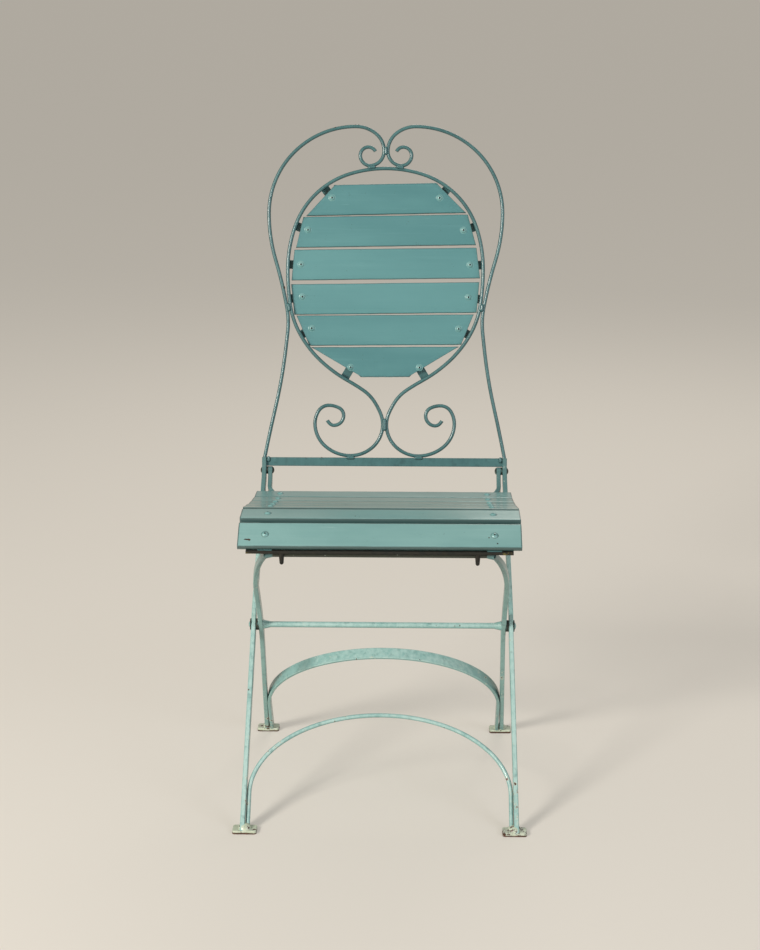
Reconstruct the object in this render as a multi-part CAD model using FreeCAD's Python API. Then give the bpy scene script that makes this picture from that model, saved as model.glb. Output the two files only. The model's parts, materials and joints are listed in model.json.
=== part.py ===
import FreeCAD, Part
import os
from math import atan2, cos, degrees, hypot, pi, radians, sin, sqrt, tan

# Folding garden chair with a heart-shaped back. All sizes are in millimetres and degrees.
# X runs to the viewer's right, Y from the front feet to the back, Z up from the floor.
# The front legs and the back are one frame. The rear legs cross them at the pivot rod and
# carry the seat's front edge on a cross rod. The seat hangs at its rear on two rivets.

# Flat bar that the legs are made of
LEG_WIDTH = 16.0
LEG_THICK = 7.0
BAR_EASE = 1.0

# Front leg frame: distances are measured up along the leg from the floor
LEG_LEAN = 40.54
FOOT_SPREAD = 388.0
PIVOT_UP = 329.0
SEAT_RIVET_UP = 595.3
BACK_BEND_UP = 598.0
FRONT_FOOT_X = 203.5
PIVOT_X = 200.5
BACK_X = 194.7
FLAT_RUN = 20.0

# Rear leg frame
REAR_FOOT_X = 198.0
ARM_TOP_X = 163.0
ARM_TOP_WIDTH = 8.0
CROSS_ROD_DIA = 8.0
CROSS_ROD_Y = 22.6
CROSS_ROD_Z = 426.7
ARM_STEPS = 12

# Pivot rod through both frames, riveted over washers
PIVOT_ROD_DIA = 9.2
PIVOT_SPACER = 4.2
PIVOT_WASHER = 1.5
SPACER_DIA = 18.0
RUN_GAP = 0.3
HOLE_GAP = 0.3

# Arches that tie the feet: the springing is where the curve leaves the upright run
FRONT_ARCH_DIA = 6.5
FRONT_ARCH_SPRING = 60.0
FRONT_ARCH_RISE = 122.5
REAR_ARCH_WIDTH = 19.5
REAR_ARCH_THICK = 5.0
REAR_ARCH_SPRING = 86.0
REAR_ARCH_RISE = 140.0
ARCH_GAP = 0.4
ARCH_SPANS = 4

# Forged feet
FOOT_LENGTH = 36.0
FOOT_DEPTH = 22.0
FOOT_THICK = 5.5
FOOT_CORNER = 4.0
FOOT_EDGE = 1.2
FOOT_WELD_HEIGHT = 8.0
FOOT_WELD_RADIUS = 10.5
SMALLEST_LUMP = 20.0

# Back: heights are measured up the back from the bend above the seat rivet
BACK_LEAN = 14.0
ROD_DIA = 5.8
WELD_GAP = 0.2
BEAD_RADIUS = 3.2
BEAD_OUT = 2.4
BEAD_LENGTH = 7.0
NECK_BEAD_LENGTH = 14.0
BACK_BAR_UP = 11.5
BACK_BAR_HEIGHT = 14.0
BACK_BAR_THICK = 5.0
NECK_RISE = 53.5
RING_RISE = 414.0
RING_HALF_WIDTH = 158.1
HEART_RISE = 67.6
HEART_FLARE = 30.8
HEART_WIDE_DROP = 72.0
HEART_TOP_X = 48.4
HEART_MEET_UP = 28.0
TOUCH_DROP = 224.0

# Half of the ring, crown to neck: share of the half width, share of the rise, heading
RING_OUTLINE = [(0.0, 1.0, 0), (0.691, 0.909, -42), (1.0, 0.607, -90),
                (0.864, 0.348, -120), (0.380, 0.172, -151), (0.100, 0.0865, -122)]
# Lower scroll from the neck: sideways, height above the cross bar, heading
SCROLL = [(55.2, 0.0, 0), (113.0, 52.0, 90), (90.4, 81.5, 180),
          (66.5, 65.0, 270), (82.0, 49.0, 0), (93.0, 57.0, 60)]
# Lower end of the heart rod: heading where it leaves the bar, then a place beyond the ring's
# half width and below the ring's crown, with its heading
HEART_START = 101
HEART_LOW = (4.0, 302.0, 97)
# Upper scroll after it touches the ring: sideways, height above the ring's crown, heading
CROWN_DROP = 1.3
CROWN_SCROLL = [(41.5, 21.0, 90), (28.0, 34.5, 180), (17.0, 27.5, 240)]

# Back slats from the top, in shares of the slat width: gap above the slat, end inset at the top
# and the foot, height of its lugs above its lower edge on the ring; last its tilt
BACK_SLAT_WIDTH = 48.8
BACK_SLAT_THICK = 10.0
BACK_SLAT_EDGE = 2.0
BACK_SLAT_BACKSET = 5.0
BACK_SLATS = [(0.492, 0.210, 0.100, 0.881, 1.4), (0.055, 0.123, 0.165, 0.676, 1.2),
              (0.094, 0.165, 0.096, 0.492, 1.0), (0.143, 0.094, 0.074, 0.492, 1.0),
              (0.053, 0.115, 0.092, 0.338, 0.7), (0.061, -0.020, 0.700, -0.050, 0.6)]
LUG_WIDTH = 14.0
LUG_THICK = 3.0
LUG_REACH = 21.0
LUG_TAIL = 8.0

# Bolts, nuts and rivets
BOLT_DIA = 5.0
BOLT_HEAD_DIA = 10.0
BOLT_HEAD_HEIGHT = 2.6
BOLT_DIMPLE_DIA = 3.0
BOLT_DIMPLE_DEPTH = 1.0
BOLT_TIP = 1.5
BOLT_CLEAR = 0.25
NUT_ACROSS = 8.0
NUT_THICK = 4.0
NUT_CLEAR = 0.05
RIVET_DIA = 6.0
RIVET_HEAD_DIA = 11.5
RIVET_HEAD_HEIGHT = 2.8

# Seat: slats lie on two flat rails; slopes are the slats' rise towards the back
SEAT_SLAT_LENGTH = 406.0
SEAT_SLAT_THICK = 9.0
SEAT_SLAT_EDGE = 2.5
SLAT_END_EDGE = 1.0
SEAT_SLAT_GAP = 4.0
SEAT_SLOPES = [34.0, 2.0, -12.8, -12.9, -10.7, -8.8, -4.0]
SEAT_FRONT_Y = 12.8
RAIL_X = 164.0
RAIL_WIDTH = 21.0
RAIL_THICK = 6.5
RAIL_EASE = 0.8
RAIL_EYE_RADIUS = 6.2
RAIL_EYE_BLEND = 0.94
RAIL_TAIL = 50.0
RAIL_SPACER = 2.7
TWIST_STEPS = 14
TWIST_LEAD = 0.8
TWIST_END = 0.5
SEAT_STEP_BACK = 4.5
SEAT_STEP_UP = 1.5
STRIP_HALF_LENGTH = 191.0
STRIP_FRONT_Y = 10.0
STRIP_DEPTH = 20.0
STRIP_THICK = 4.4
PEG_X = 140.0
PEG_DIA = 8.0
PEG_TIP_DIA = 6.0
PEG_LENGTH = 17.0

X_AXIS = FreeCAD.Vector(1, 0, 0)
Y_AXIS = FreeCAD.Vector(0, 1, 0)
Z_AXIS = FreeCAD.Vector(0, 0, 1)
ORIGIN = FreeCAD.Vector(0, 0, 0)
FAR = 2000.0


def along(y, z, lean, up, out=0.0):
    """Point on a leaning line: up along the lean and out behind it, as (y, z)."""
    a = radians(lean)
    return (y + up * sin(a) + out * cos(a), z + up * cos(a) - out * sin(a))


# Places that the whole chair is built from
PIVOT_Y, PIVOT_Z = along(0, 0, LEG_LEAN, PIVOT_UP)
RIVET_Y, RIVET_Z = along(0, 0, LEG_LEAN, SEAT_RIVET_UP)
BEND_Y, BEND_Z = along(0, 0, LEG_LEAN, BACK_BEND_UP)
REAR_LEAN = degrees(atan2(PIVOT_Y - FOOT_SPREAD, PIVOT_Z))
REAR_LENGTH = hypot(PIVOT_Y - FOOT_SPREAD, PIVOT_Z)
REAR_PIVOT_X = PIVOT_X - LEG_THICK - PIVOT_SPACER - RUN_GAP
EYE_X = BACK_X - LEG_THICK / 2 - RUN_GAP - RAIL_SPACER - RAIL_THICK / 2
BAR_TOP = BACK_BAR_UP + BACK_BAR_HEIGHT / 2
SCROLL_FLOOR = BAR_TOP + ROD_DIA / 2 + WELD_GAP
NECK_X = (ROD_DIA + WELD_GAP) / 2
NECK_UP = BAR_TOP + NECK_RISE
CROWN_UP = NECK_UP + RING_RISE
FRONT_PLANE = (0.0, 0.0, LEG_LEAN)
REAR_PLANE = (FOOT_SPREAD, 0.0, REAR_LEAN)
BACK_PLANE = (BEND_Y, BEND_Z, BACK_LEAN)
STRIP_BOTTOM = CROSS_ROD_Z + CROSS_ROD_DIA / 2 + RUN_GAP
STRIP_TOP = STRIP_BOTTOM + STRIP_THICK
SEAT_FRONT_Z = STRIP_TOP + RUN_GAP
SLAT_RUNS = [cos(radians(slope)) for slope in SEAT_SLOPES]
SEAT_RUN = RIVET_Y - RAIL_TAIL - SEAT_FRONT_Y - SEAT_STEP_BACK - SEAT_SLAT_GAP * sum(SLAT_RUNS[1:-1])
SEAT_SLAT_WIDTH = SEAT_RUN / sum(SLAT_RUNS)
CHAIR_REAR = along(*BACK_PLANE, CROWN_UP + HEART_RISE)[0] + ROD_DIA / 2
FOOT_Y = FOOT_THICK * tan(radians(LEG_LEAN))
CENTRE_Y = (CHAIR_REAR + FOOT_Y - FOOT_DEPTH / 2) / 2


def ramp(value, start, end, low, high):
    """Straight change from low to high while value goes from start to end."""
    share = min(1.0, max(0.0, (value - start) / (end - start)))
    return low + share * (high - low)


def front_x(up):
    """Sideways place of the front leg bar at a distance up the leg."""
    if up < PIVOT_UP:
        return ramp(up, 0, PIVOT_UP - FLAT_RUN, FRONT_FOOT_X, PIVOT_X)
    return ramp(up, PIVOT_UP + FLAT_RUN, BACK_BEND_UP - FLAT_RUN, PIVOT_X, BACK_X)


def rear_x(up):
    """Sideways place of the rear leg bar at a distance up the leg."""
    return ramp(up, 0, REAR_LENGTH - FLAT_RUN, REAR_FOOT_X, REAR_PIVOT_X)


def stand(shape, plane):
    """Lean a shape drawn in the XZ plane over onto one of the chair's planes."""
    y, z, lean = plane
    turned = shape.copy()
    turned.rotate(ORIGIN, X_AXIS, -lean)
    turned.translate(FreeCAD.Vector(0, y, z))
    return turned


def mirrored(shape):
    """The same shape on the other side of the chair."""
    return shape.mirror(ORIGIN, X_AXIS)


def aimed(shape, place, direction):
    """Turn a shape drawn along Z to a direction and move it to a place."""
    moved = shape.copy()
    moved.Placement = FreeCAD.Placement(place, FreeCAD.Rotation(Z_AXIS, direction))
    return moved


def eased_section(centre, wide, thick, half_width, half_thick, ease):
    """Closed rectangle with cut corners around a centre, for bar sections."""
    corners = []
    for a, b in ((1, 1), (-1, 1), (-1, -1), (1, -1)):
        first = (half_width - ease, half_thick) if a * b > 0 else (half_width, half_thick - ease)
        second = (half_width, half_thick - ease) if a * b > 0 else (half_width - ease, half_thick)
        for u, v in (second, first):
            corners.append(centre + wide * (a * u) + thick * (b * v))
    return Part.makePolygon(corners + corners[:1])


def leg_section(x, y, z, lean, width=LEG_WIDTH, stretch=1.0):
    """Section of a leg bar: its width lies fore and aft, its thickness sideways."""
    a = radians(lean)
    wide = FreeCAD.Vector(0, cos(a), -sin(a)) * stretch
    return eased_section(FreeCAD.Vector(x, y, z), wide, X_AXIS, width / 2, LEG_THICK / 2, BAR_EASE)


def cylinder(radius, x0, x1, y, z):
    """Round bar along X."""
    return Part.makeCylinder(radius, x1 - x0, FreeCAD.Vector(x0, y, z), X_AXIS)


def arc_or_line(start, tangent, end):
    """Edge that leaves start along the tangent and reaches end."""
    chord = end - start
    turn = atan2(tangent[0] * chord.z - tangent[1] * chord.x,
                 tangent[0] * chord.x + tangent[1] * chord.z)
    if abs(turn) < 1e-3:
        return Part.LineSegment(start, end).toShape()
    side = FreeCAD.Vector(chord.z, 0, -chord.x)
    middle = start + chord * 0.5 + side * (0.5 * tan(turn / 2))
    return Part.Arc(start, middle, end).toShape()


def bend_path(stations):
    """Wire of tangent arcs through stations of (sideways, up, heading)."""
    edges = []
    for (x0, z0, h0), (x1, z1, h1) in zip(stations[:-1], stations[1:]):
        t0 = (cos(radians(h0)), sin(radians(h0)))
        t1 = (cos(radians(h1)), sin(radians(h1)))
        vx, vz = x1 - x0, z1 - z0
        both = vx * (t0[0] + t1[0]) + vz * (t0[1] + t1[1])
        spread = 2 * (1 - t0[0] * t1[0] - t0[1] * t1[1])
        square = vx * vx + vz * vz
        if spread < 1e-6:
            reach = square / (2 * both)
        else:
            reach = (sqrt(both * both + spread * square) - both) / spread
        start = FreeCAD.Vector(x0, 0, z0)
        end = FreeCAD.Vector(x1, 0, z1)
        joint = (start + end) * 0.5 + FreeCAD.Vector(t0[0] - t1[0], 0, t0[1] - t1[1]) * (reach / 2)
        way = (vx - reach * (t0[0] + t1[0]), vz - reach * (t0[1] + t1[1]))
        edges.append(arc_or_line(start, t0, joint))
        edges.append(arc_or_line(joint, (way[0] / hypot(*way), way[1] / hypot(*way)), end))
    return Part.Wire(edges)


def both_halves(stations):
    """Stations of a symmetric path, from the left end over the middle to the right end."""
    left = [(-x, z, -h) for x, z, h in reversed(stations)]
    return left[:-1] + stations


def swept(path, profile):
    """Solid swept along a flat path."""
    return path.makePipeShell([profile], True, False)


def round_rod(stations, dia):
    """Round rod bent through stations in the XZ plane."""
    x, z, heading = stations[0]
    aim = FreeCAD.Vector(cos(radians(heading)), 0, sin(radians(heading)))
    ring = Part.Wire(Part.makeCircle(dia / 2, FreeCAD.Vector(x, 0, z), aim))
    return swept(bend_path(stations), ring)


def flat_rod(stations, width, thick, ease):
    """Flat band bent the easy way through stations, its width along Y."""
    x, z, heading = stations[0]
    across = FreeCAD.Vector(-sin(radians(heading)), 0, cos(radians(heading)))
    profile = eased_section(FreeCAD.Vector(x, 0, z), Y_AXIS, across, width / 2, thick / 2, ease)
    return swept(bend_path(stations), profile)


def arch_stations(half, spring, rise, foot):
    """Half an arch, crown first: a quarter oval and a straight run down to the foot."""
    stations = []
    for step in range(ARCH_SPANS + 1):
        a = radians(90 - 90 * step / ARCH_SPANS)
        heading = degrees(atan2(-rise * cos(a), half * sin(a)))
        stations.append((half * cos(a), spring + rise * sin(a), heading))
    stations.append((half, foot, -90))
    return stations


def above(shape, height):
    """What is left of a shape above a level."""
    return shape.cut(Part.makeBox(FAR, FAR, FAR, FreeCAD.Vector(-FAR / 2, -FAR / 2, height - FAR)))


def below(shape, height):
    """What is left of a shape below a level."""
    return shape.cut(Part.makeBox(FAR, FAR, FAR, FreeCAD.Vector(-FAR / 2, -FAR / 2, height)))


def dome(radius, height, dimple=0.0):
    """Domed head on Z = 0, with an optional round dimple in its crown."""
    ball = (radius * radius + height * height) / (2 * height)
    lean = radians(45)
    out = radius * cos(lean)
    side = FreeCAD.Vector(out, 0, height - ball + sqrt(ball * ball - out * out))
    top = FreeCAD.Vector(0, 0, height)
    edge = FreeCAD.Vector(radius, 0, 0)
    outline = Part.Wire([Part.LineSegment(ORIGIN, edge).toShape(),
                         Part.Arc(edge, side, top).toShape(),
                         Part.LineSegment(top, ORIGIN).toShape()])
    head = Part.Face(outline).revolve(ORIGIN, Z_AXIS, 360)
    if dimple > 0:
        floor = FreeCAD.Vector(0, 0, height - BOLT_DIMPLE_DEPTH)
        head = head.cut(Part.makeCylinder(dimple / 2, height, floor))
    return head


def bolt(grip):
    """Domed bolt: its head on Z = 0 and its shank down through a grip and a nut."""
    length = grip + NUT_THICK + BOLT_TIP
    shank = Part.makeCylinder(BOLT_DIA / 2, length, FreeCAD.Vector(0, 0, -length))
    return dome(BOLT_HEAD_DIA / 2, BOLT_HEAD_HEIGHT, BOLT_DIMPLE_DIA).fuse(shank).removeSplitter()


def nut(grip):
    """Six-sided nut below a grip."""
    radius = NUT_ACROSS / sqrt(3)
    corners = [FreeCAD.Vector(radius * cos(k * pi / 3), radius * sin(k * pi / 3), -grip - NUT_THICK)
               for k in range(7)]
    block = Part.Face(Part.makePolygon(corners)).extrude(Z_AXIS * NUT_THICK)
    foot = FreeCAD.Vector(0, 0, -grip - NUT_THICK)
    bore = Part.makeCylinder(BOLT_DIA / 2 + NUT_CLEAR, NUT_THICK, foot)
    return block.cut(bore)


def bolt_hole():
    """Clearance hole for a bolt, centred on Z = 0."""
    length = 3 * BACK_SLAT_THICK + 3 * SEAT_SLAT_THICK
    return Part.makeCylinder(BOLT_DIA / 2 + BOLT_CLEAR, length, FreeCAD.Vector(0, 0, -length / 2))


def rounded_bar(length, width, thick, radius):
    """Bar along X with rounded long edges: Y from 0 to width, Z from 0 to thick."""
    points = []
    for y, z, start in ((width - radius, radius, -90), (width - radius, thick - radius, 0),
                        (radius, thick - radius, 90), (radius, radius, 180)):
        for turn in (0, 45, 90):
            a = radians(start + turn)
            points.append(FreeCAD.Vector(-length / 2, y + radius * cos(a), z + radius * sin(a)))
    edges = []
    for k in range(0, 12, 3):
        edges.append(Part.Arc(points[k], points[k + 1], points[k + 2]).toShape())
        edges.append(Part.LineSegment(points[k + 2], points[(k + 3) % 12]).toShape())
    bar = Part.Face(Part.Wire(edges)).extrude(X_AXIS * length)
    ends = [e for e in bar.Edges if e.BoundBox.XLength < 0.01]
    return bar.makeFillet(SLAT_END_EDGE, ends)


def front_legs(parts):
    """Front leg bars: straight from the foot past the seat rivet, then bent to the back."""
    stops = [-LEG_WIDTH, PIVOT_UP - FLAT_RUN, PIVOT_UP + FLAT_RUN, BACK_BEND_UP - FLAT_RUN]
    sections = [leg_section(front_x(up), *along(*FRONT_PLANE, up), LEG_LEAN) for up in stops]
    half_bend = (LEG_LEAN - BACK_LEAN) / 2
    sections.append(leg_section(BACK_X, BEND_Y, BEND_Z, BACK_LEAN + half_bend,
                                stretch=1 / cos(radians(half_bend))))
    sections.append(leg_section(BACK_X, *along(*BACK_PLANE, BAR_TOP), BACK_LEAN))
    bar = above(Part.makeLoft(sections, True, True), FOOT_THICK)
    holes = [(PIVOT_ROD_DIA, PIVOT_Y, PIVOT_Z), (RIVET_DIA, RIVET_Y, RIVET_Z)]
    for dia, y, z in holes:
        drill = cylinder(dia / 2 + HOLE_GAP, BACK_X - 2 * LEG_THICK, PIVOT_X + 2 * LEG_THICK, y, z)
        bar = bar.cut(drill)
    parts["front_leg_right"] = bar
    parts["front_leg_left"] = mirrored(bar)


def arm_centre(share):
    """Centre of the rear leg's curved arm, from the pivot (0) to the cross rod (1)."""
    chord = hypot(CROSS_ROD_Y - PIVOT_Y, CROSS_ROD_Z - PIVOT_Z)
    chord_lean = degrees(atan2(CROSS_ROD_Y - PIVOT_Y, CROSS_ROD_Z - PIVOT_Z))
    half_turn = chord_lean - REAR_LEAN
    bend_radius = chord / (2 * sin(radians(half_turn)))
    turned = radians(2 * half_turn * share)
    up = bend_radius * sin(turned)
    out = bend_radius * (1 - cos(turned))
    y, z = along(PIVOT_Y, PIVOT_Z, REAR_LEAN, up, out)
    inward = max(0.0, (share - 0.4) / 0.6) ** 2
    x = REAR_PIVOT_X - (REAR_PIVOT_X - ARM_TOP_X) * inward
    return x, y, z, REAR_LEAN + degrees(turned)


def arm_width(share):
    """Width of the arm, drawn out thinner towards its tip."""
    return LEG_WIDTH - (LEG_WIDTH - ARM_TOP_WIDTH) * max(0.0, (share - 0.55) / 0.45)


def rear_legs(parts):
    """Rear leg bars: straight to the pivot, then an arm curving in to the cross rod."""
    straight = []
    for up in (-LEG_WIDTH, REAR_LENGTH - FLAT_RUN, REAR_LENGTH):
        straight.append(leg_section(rear_x(up), *along(*REAR_PLANE, up), REAR_LEAN))
    arm = []
    for step in range(ARM_STEPS + 1):
        share = step / ARM_STEPS
        x, y, z, lean = arm_centre(share)
        arm.append(leg_section(x, y, z, lean, arm_width(share)))
    bar = Part.makeLoft(straight, True, True).fuse(Part.makeLoft(arm, True, False))
    bar = above(bar, FOOT_THICK)
    bar = bar.cut(cylinder(PIVOT_ROD_DIA / 2, 0, PIVOT_X, PIVOT_Y, PIVOT_Z))
    parts["rear_leg_right"] = bar
    parts["rear_leg_left"] = mirrored(bar)
    rod = cylinder(CROSS_ROD_DIA / 2, -ARM_TOP_X, ARM_TOP_X, CROSS_ROD_Y, CROSS_ROD_Z)
    parts["seat_cross_rod"] = rod.cut(bar).cut(mirrored(bar))


def pivot_rod(parts):
    """Rod through both leg frames, with spacers, outer washers and riveted ends."""
    spacer_in = REAR_PIVOT_X + LEG_THICK / 2
    washer_in = PIVOT_X + LEG_THICK / 2 + RUN_GAP
    washer_out = washer_in + PIVOT_WASHER
    rod = cylinder(PIVOT_ROD_DIA / 2, -washer_out, washer_out, PIVOT_Y, PIVOT_Z)
    head = aimed(dome(RIVET_HEAD_DIA / 2, RIVET_HEAD_HEIGHT),
                 FreeCAD.Vector(washer_out, PIVOT_Y, PIVOT_Z), X_AXIS)
    parts["pivot_rod"] = rod.fuse([head, mirrored(head)]).removeSplitter()
    spacer = cylinder(SPACER_DIA / 2, spacer_in, spacer_in + PIVOT_SPACER, PIVOT_Y, PIVOT_Z)
    washer = cylinder(SPACER_DIA / 2, washer_in, washer_out, PIVOT_Y, PIVOT_Z)
    bore = cylinder(PIVOT_ROD_DIA / 2, 0, washer_out, PIVOT_Y, PIVOT_Z)
    spacer = spacer.cut(bore).cut(parts["rear_leg_right"])
    washer = washer.cut(bore)
    parts["pivot_spacers"] = [spacer, mirrored(spacer)]
    parts["pivot_washers"] = [washer, mirrored(washer)]


def rear_welds(parts):
    """Flared welds where the pivot rod and the cross rod meet the rear legs."""
    welds = []
    places = [(PIVOT_ROD_DIA / 2, REAR_PIVOT_X - LEG_THICK / 2, PIVOT_Y, PIVOT_Z),
              (CROSS_ROD_DIA / 2, ARM_TOP_X, CROSS_ROD_Y, CROSS_ROD_Z)]
    for radius, x, y, z in places:
        foot = FreeCAD.Vector(x, y, z)
        cone = Part.makeCone(1.6 * radius, radius + WELD_GAP, 2.4 * radius, foot, -X_AXIS)
        cone = cone.cut(cylinder(radius, 0, x, y, z)).cut(parts["rear_leg_right"])
        cone = below(cone, STRIP_BOTTOM - RUN_GAP - WELD_GAP)
        cone = max(cone.Solids, key=lambda solid: solid.Volume)
        welds += [cone, mirrored(cone)]
    parts["rear_frame_welds"] = welds


def arches(parts):
    """The two arches that tie each pair of feet."""
    foot = -LEG_WIDTH
    half = front_x(FRONT_ARCH_SPRING) - LEG_THICK / 2 - FRONT_ARCH_DIA / 2 - ARCH_GAP
    stations = arch_stations(half, FRONT_ARCH_SPRING, FRONT_ARCH_RISE, foot)
    rod = stand(round_rod(both_halves(stations), FRONT_ARCH_DIA), FRONT_PLANE)
    parts["front_arch"] = above(rod, FOOT_THICK)
    half = rear_x(REAR_ARCH_SPRING) - LEG_THICK / 2 - REAR_ARCH_THICK / 2 - ARCH_GAP
    stations = arch_stations(half, REAR_ARCH_SPRING, REAR_ARCH_RISE, foot)
    band = flat_rod(both_halves(stations), REAR_ARCH_WIDTH, REAR_ARCH_THICK, BAR_EASE)
    parts["rear_arch"] = above(stand(band, REAR_PLANE), FOOT_THICK)


def feet(parts):
    """Forged feet, and the welds that hold leg and arch on them."""
    ends = {"front": (FRONT_PLANE, FRONT_FOOT_X, FRONT_ARCH_DIA),
            "rear": (REAR_PLANE, REAR_FOOT_X, REAR_ARCH_THICK)}
    for end, (plane, leg_x, arch_thick) in ends.items():
        x = leg_x - (LEG_THICK + arch_thick) / 4
        y = along(*plane, FOOT_THICK / cos(radians(plane[2])))[0]
        corner = FreeCAD.Vector(x - FOOT_LENGTH / 2, y - FOOT_DEPTH / 2, 0)
        pad = Part.makeBox(FOOT_LENGTH, FOOT_DEPTH, FOOT_THICK, corner)
        pad = pad.makeFillet(FOOT_CORNER, [e for e in pad.Edges if e.BoundBox.ZLength > FOOT_THICK / 2])
        pad = pad.makeFillet(FOOT_EDGE, [e for e in pad.Edges if e.BoundBox.ZMin > FOOT_THICK - 0.01])
        weld = aimed(dome(FOOT_WELD_RADIUS, FOOT_WELD_HEIGHT), FreeCAD.Vector(x, y, FOOT_THICK), Z_AXIS)
        near = weld.cut(parts[end + "_leg_right"]).cut(parts[end + "_arch"])
        welds = [lump for lump in near.Solids if lump.Volume > SMALLEST_LUMP]
        parts[end + "_foot_right"] = pad
        parts[end + "_foot_left"] = mirrored(pad)
        parts[end + "_foot_welds"] = welds + [mirrored(lump) for lump in welds]


def ring_half():
    """Stations of the right half of the ring with its lower scroll."""
    stations = [(x * RING_HALF_WIDTH, NECK_UP + z * RING_RISE, h) for x, z, h in RING_OUTLINE]
    stations.append((NECK_X, NECK_UP, -90))
    return stations + [(x, SCROLL_FLOOR + z, h) for x, z, h in SCROLL]


RING_POINTS = bend_path(ring_half()[:len(RING_OUTLINE) + 1]).discretize(Number=500)


def on_ring(up):
    """Place on the right half of the ring at a height, with the direction away from its middle."""
    for a, b in zip(RING_POINTS[:-1], RING_POINTS[1:]):
        if a.z >= up >= b.z:
            step = b - a
            point = a + step * ((a.z - up) / max(a.z - b.z, 1e-9))
            return point, FreeCAD.Vector(-step.z, 0, step.x).normalize()
    raise ValueError("the ring has no place at this height")


def weld_bead(place, heading, length):
    """Bead of weld with round ends, drawn in the XZ plane around a place."""
    turn = radians(heading)
    aim = FreeCAD.Vector(cos(turn), 0, sin(turn))
    side = FreeCAD.Vector(-sin(turn), 0, cos(turn)) * BEAD_RADIUS
    start, end = place - aim * (length / 2), place + aim * (length / 2)
    first, last = start - aim * BEAD_RADIUS, end + aim * BEAD_RADIUS
    outline = [Part.Arc(first, start + (side - aim * BEAD_RADIUS) * cos(radians(45)), start + side),
               Part.LineSegment(start + side, end + side),
               Part.Arc(end + side, end + (side + aim * BEAD_RADIUS) * cos(radians(45)), last),
               Part.LineSegment(last, first)]
    return Part.Face(Part.Wire([edge.toShape() for edge in outline])).revolve(place, aim, 360)


def back_rods(parts):
    """Ring, heart rods and cross bar of the back, and the beads that join them."""
    inner = BACK_X - LEG_THICK / 2
    bar = Part.makeBox(2 * inner, BACK_BAR_THICK, BACK_BAR_HEIGHT,
                       FreeCAD.Vector(-inner, -BACK_BAR_THICK / 2, BACK_BAR_UP - BACK_BAR_HEIGHT / 2))
    bar = bar.makeFillet(BAR_EASE, [e for e in bar.Edges if e.BoundBox.XLength > inner])
    parts["back_cross_bar"] = stand(bar, BACK_PLANE)
    parts["medallion_ring"] = stand(round_rod(both_halves(ring_half()), ROD_DIA), BACK_PLANE)
    touch, away = on_ring(CROWN_UP - TOUCH_DROP)
    seat = touch + away * (ROD_DIA + WELD_GAP)
    heading = degrees(atan2(away.x, -away.z))
    low_out, low_drop, low_heading = HEART_LOW
    stations = [(BACK_X, BAR_TOP - ROD_DIA / 3, HEART_START),
                (RING_HALF_WIDTH + low_out, CROWN_UP - low_drop, low_heading),
                (seat.x, seat.z, heading),
                (RING_HALF_WIDTH + HEART_FLARE, CROWN_UP - HEART_WIDE_DROP, 90),
                (HEART_TOP_X, CROWN_UP + HEART_RISE, 180), (NECK_X, CROWN_UP + HEART_MEET_UP, 270)]
    crown, crown_away = on_ring(CROWN_UP - CROWN_DROP)
    perch = crown + crown_away * (ROD_DIA + WELD_GAP)
    crown_heading = degrees(atan2(-crown_away.x, crown_away.z))
    stations.append((perch.x, perch.z, crown_heading))
    stations += [(x, CROWN_UP + z, h) for x, z, h in CROWN_SCROLL]
    rod = stand(round_rod(stations, ROD_DIA), BACK_PLANE).cut(parts["front_leg_right"])
    rod = rod.cut(parts["back_cross_bar"])
    parts["heart_rod_right"] = rod
    parts["heart_rod_left"] = mirrored(rod)
    half_gap = (ROD_DIA + WELD_GAP) / 2
    side_spots = [(touch + away * half_gap, heading, BEAD_LENGTH),
                  (crown + crown_away * half_gap, crown_heading, BEAD_LENGTH),
                  (FreeCAD.Vector(SCROLL[0][0], 0, BAR_TOP), 0, BEAD_LENGTH),
                  (FreeCAD.Vector(inner - BEAD_RADIUS, 0, BAR_TOP - BEAD_RADIUS), 90, BEAD_RADIUS)]
    middle_spots = [(FreeCAD.Vector(0, 0, CROWN_UP + HEART_MEET_UP), 90, BEAD_LENGTH),
                    (FreeCAD.Vector(0, 0, NECK_UP), 90, NECK_BEAD_LENGTH)]
    rods = [parts["medallion_ring"], rod, parts["heart_rod_left"], parts["back_cross_bar"],
            parts["front_leg_right"]]
    beads = []
    for spot, aim, length in side_spots + middle_spots:
        bead = stand(weld_bead(spot - Y_AXIS * BEAD_OUT, aim, length), BACK_PLANE).cut(rods)
        lumps = [lump for lump in bead.Solids if lump.Volume > SMALLEST_LUMP]
        beads += lumps
        if spot.x > BEAD_RADIUS:
            beads += [mirrored(lump) for lump in lumps]
    parts["back_weld_beads"] = beads


def lug(foot, away):
    """Bent lug: stands behind the ring and turns inwards behind the slat."""
    behind = BACK_SLAT_BACKSET + BACK_SLAT_THICK
    outline = [(-LUG_THICK / 2, 0), (LUG_THICK / 2, 0), (LUG_THICK / 2, behind),
               (LUG_REACH + LUG_TAIL, behind), (LUG_REACH + LUG_TAIL, behind + LUG_THICK),
               (LUG_THICK / 2, behind + LUG_THICK), (-LUG_THICK / 2, behind)]
    corners = [FreeCAD.Vector(t, n, -LUG_WIDTH / 2) for t, n in outline]
    body = Part.Face(Part.makePolygon(corners + corners[:1])).extrude(Z_AXIS * LUG_WIDTH)
    body.rotate(ORIGIN, Y_AXIS, -degrees(atan2(-away.z, -away.x)))
    body.translate(foot)
    return body


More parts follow.
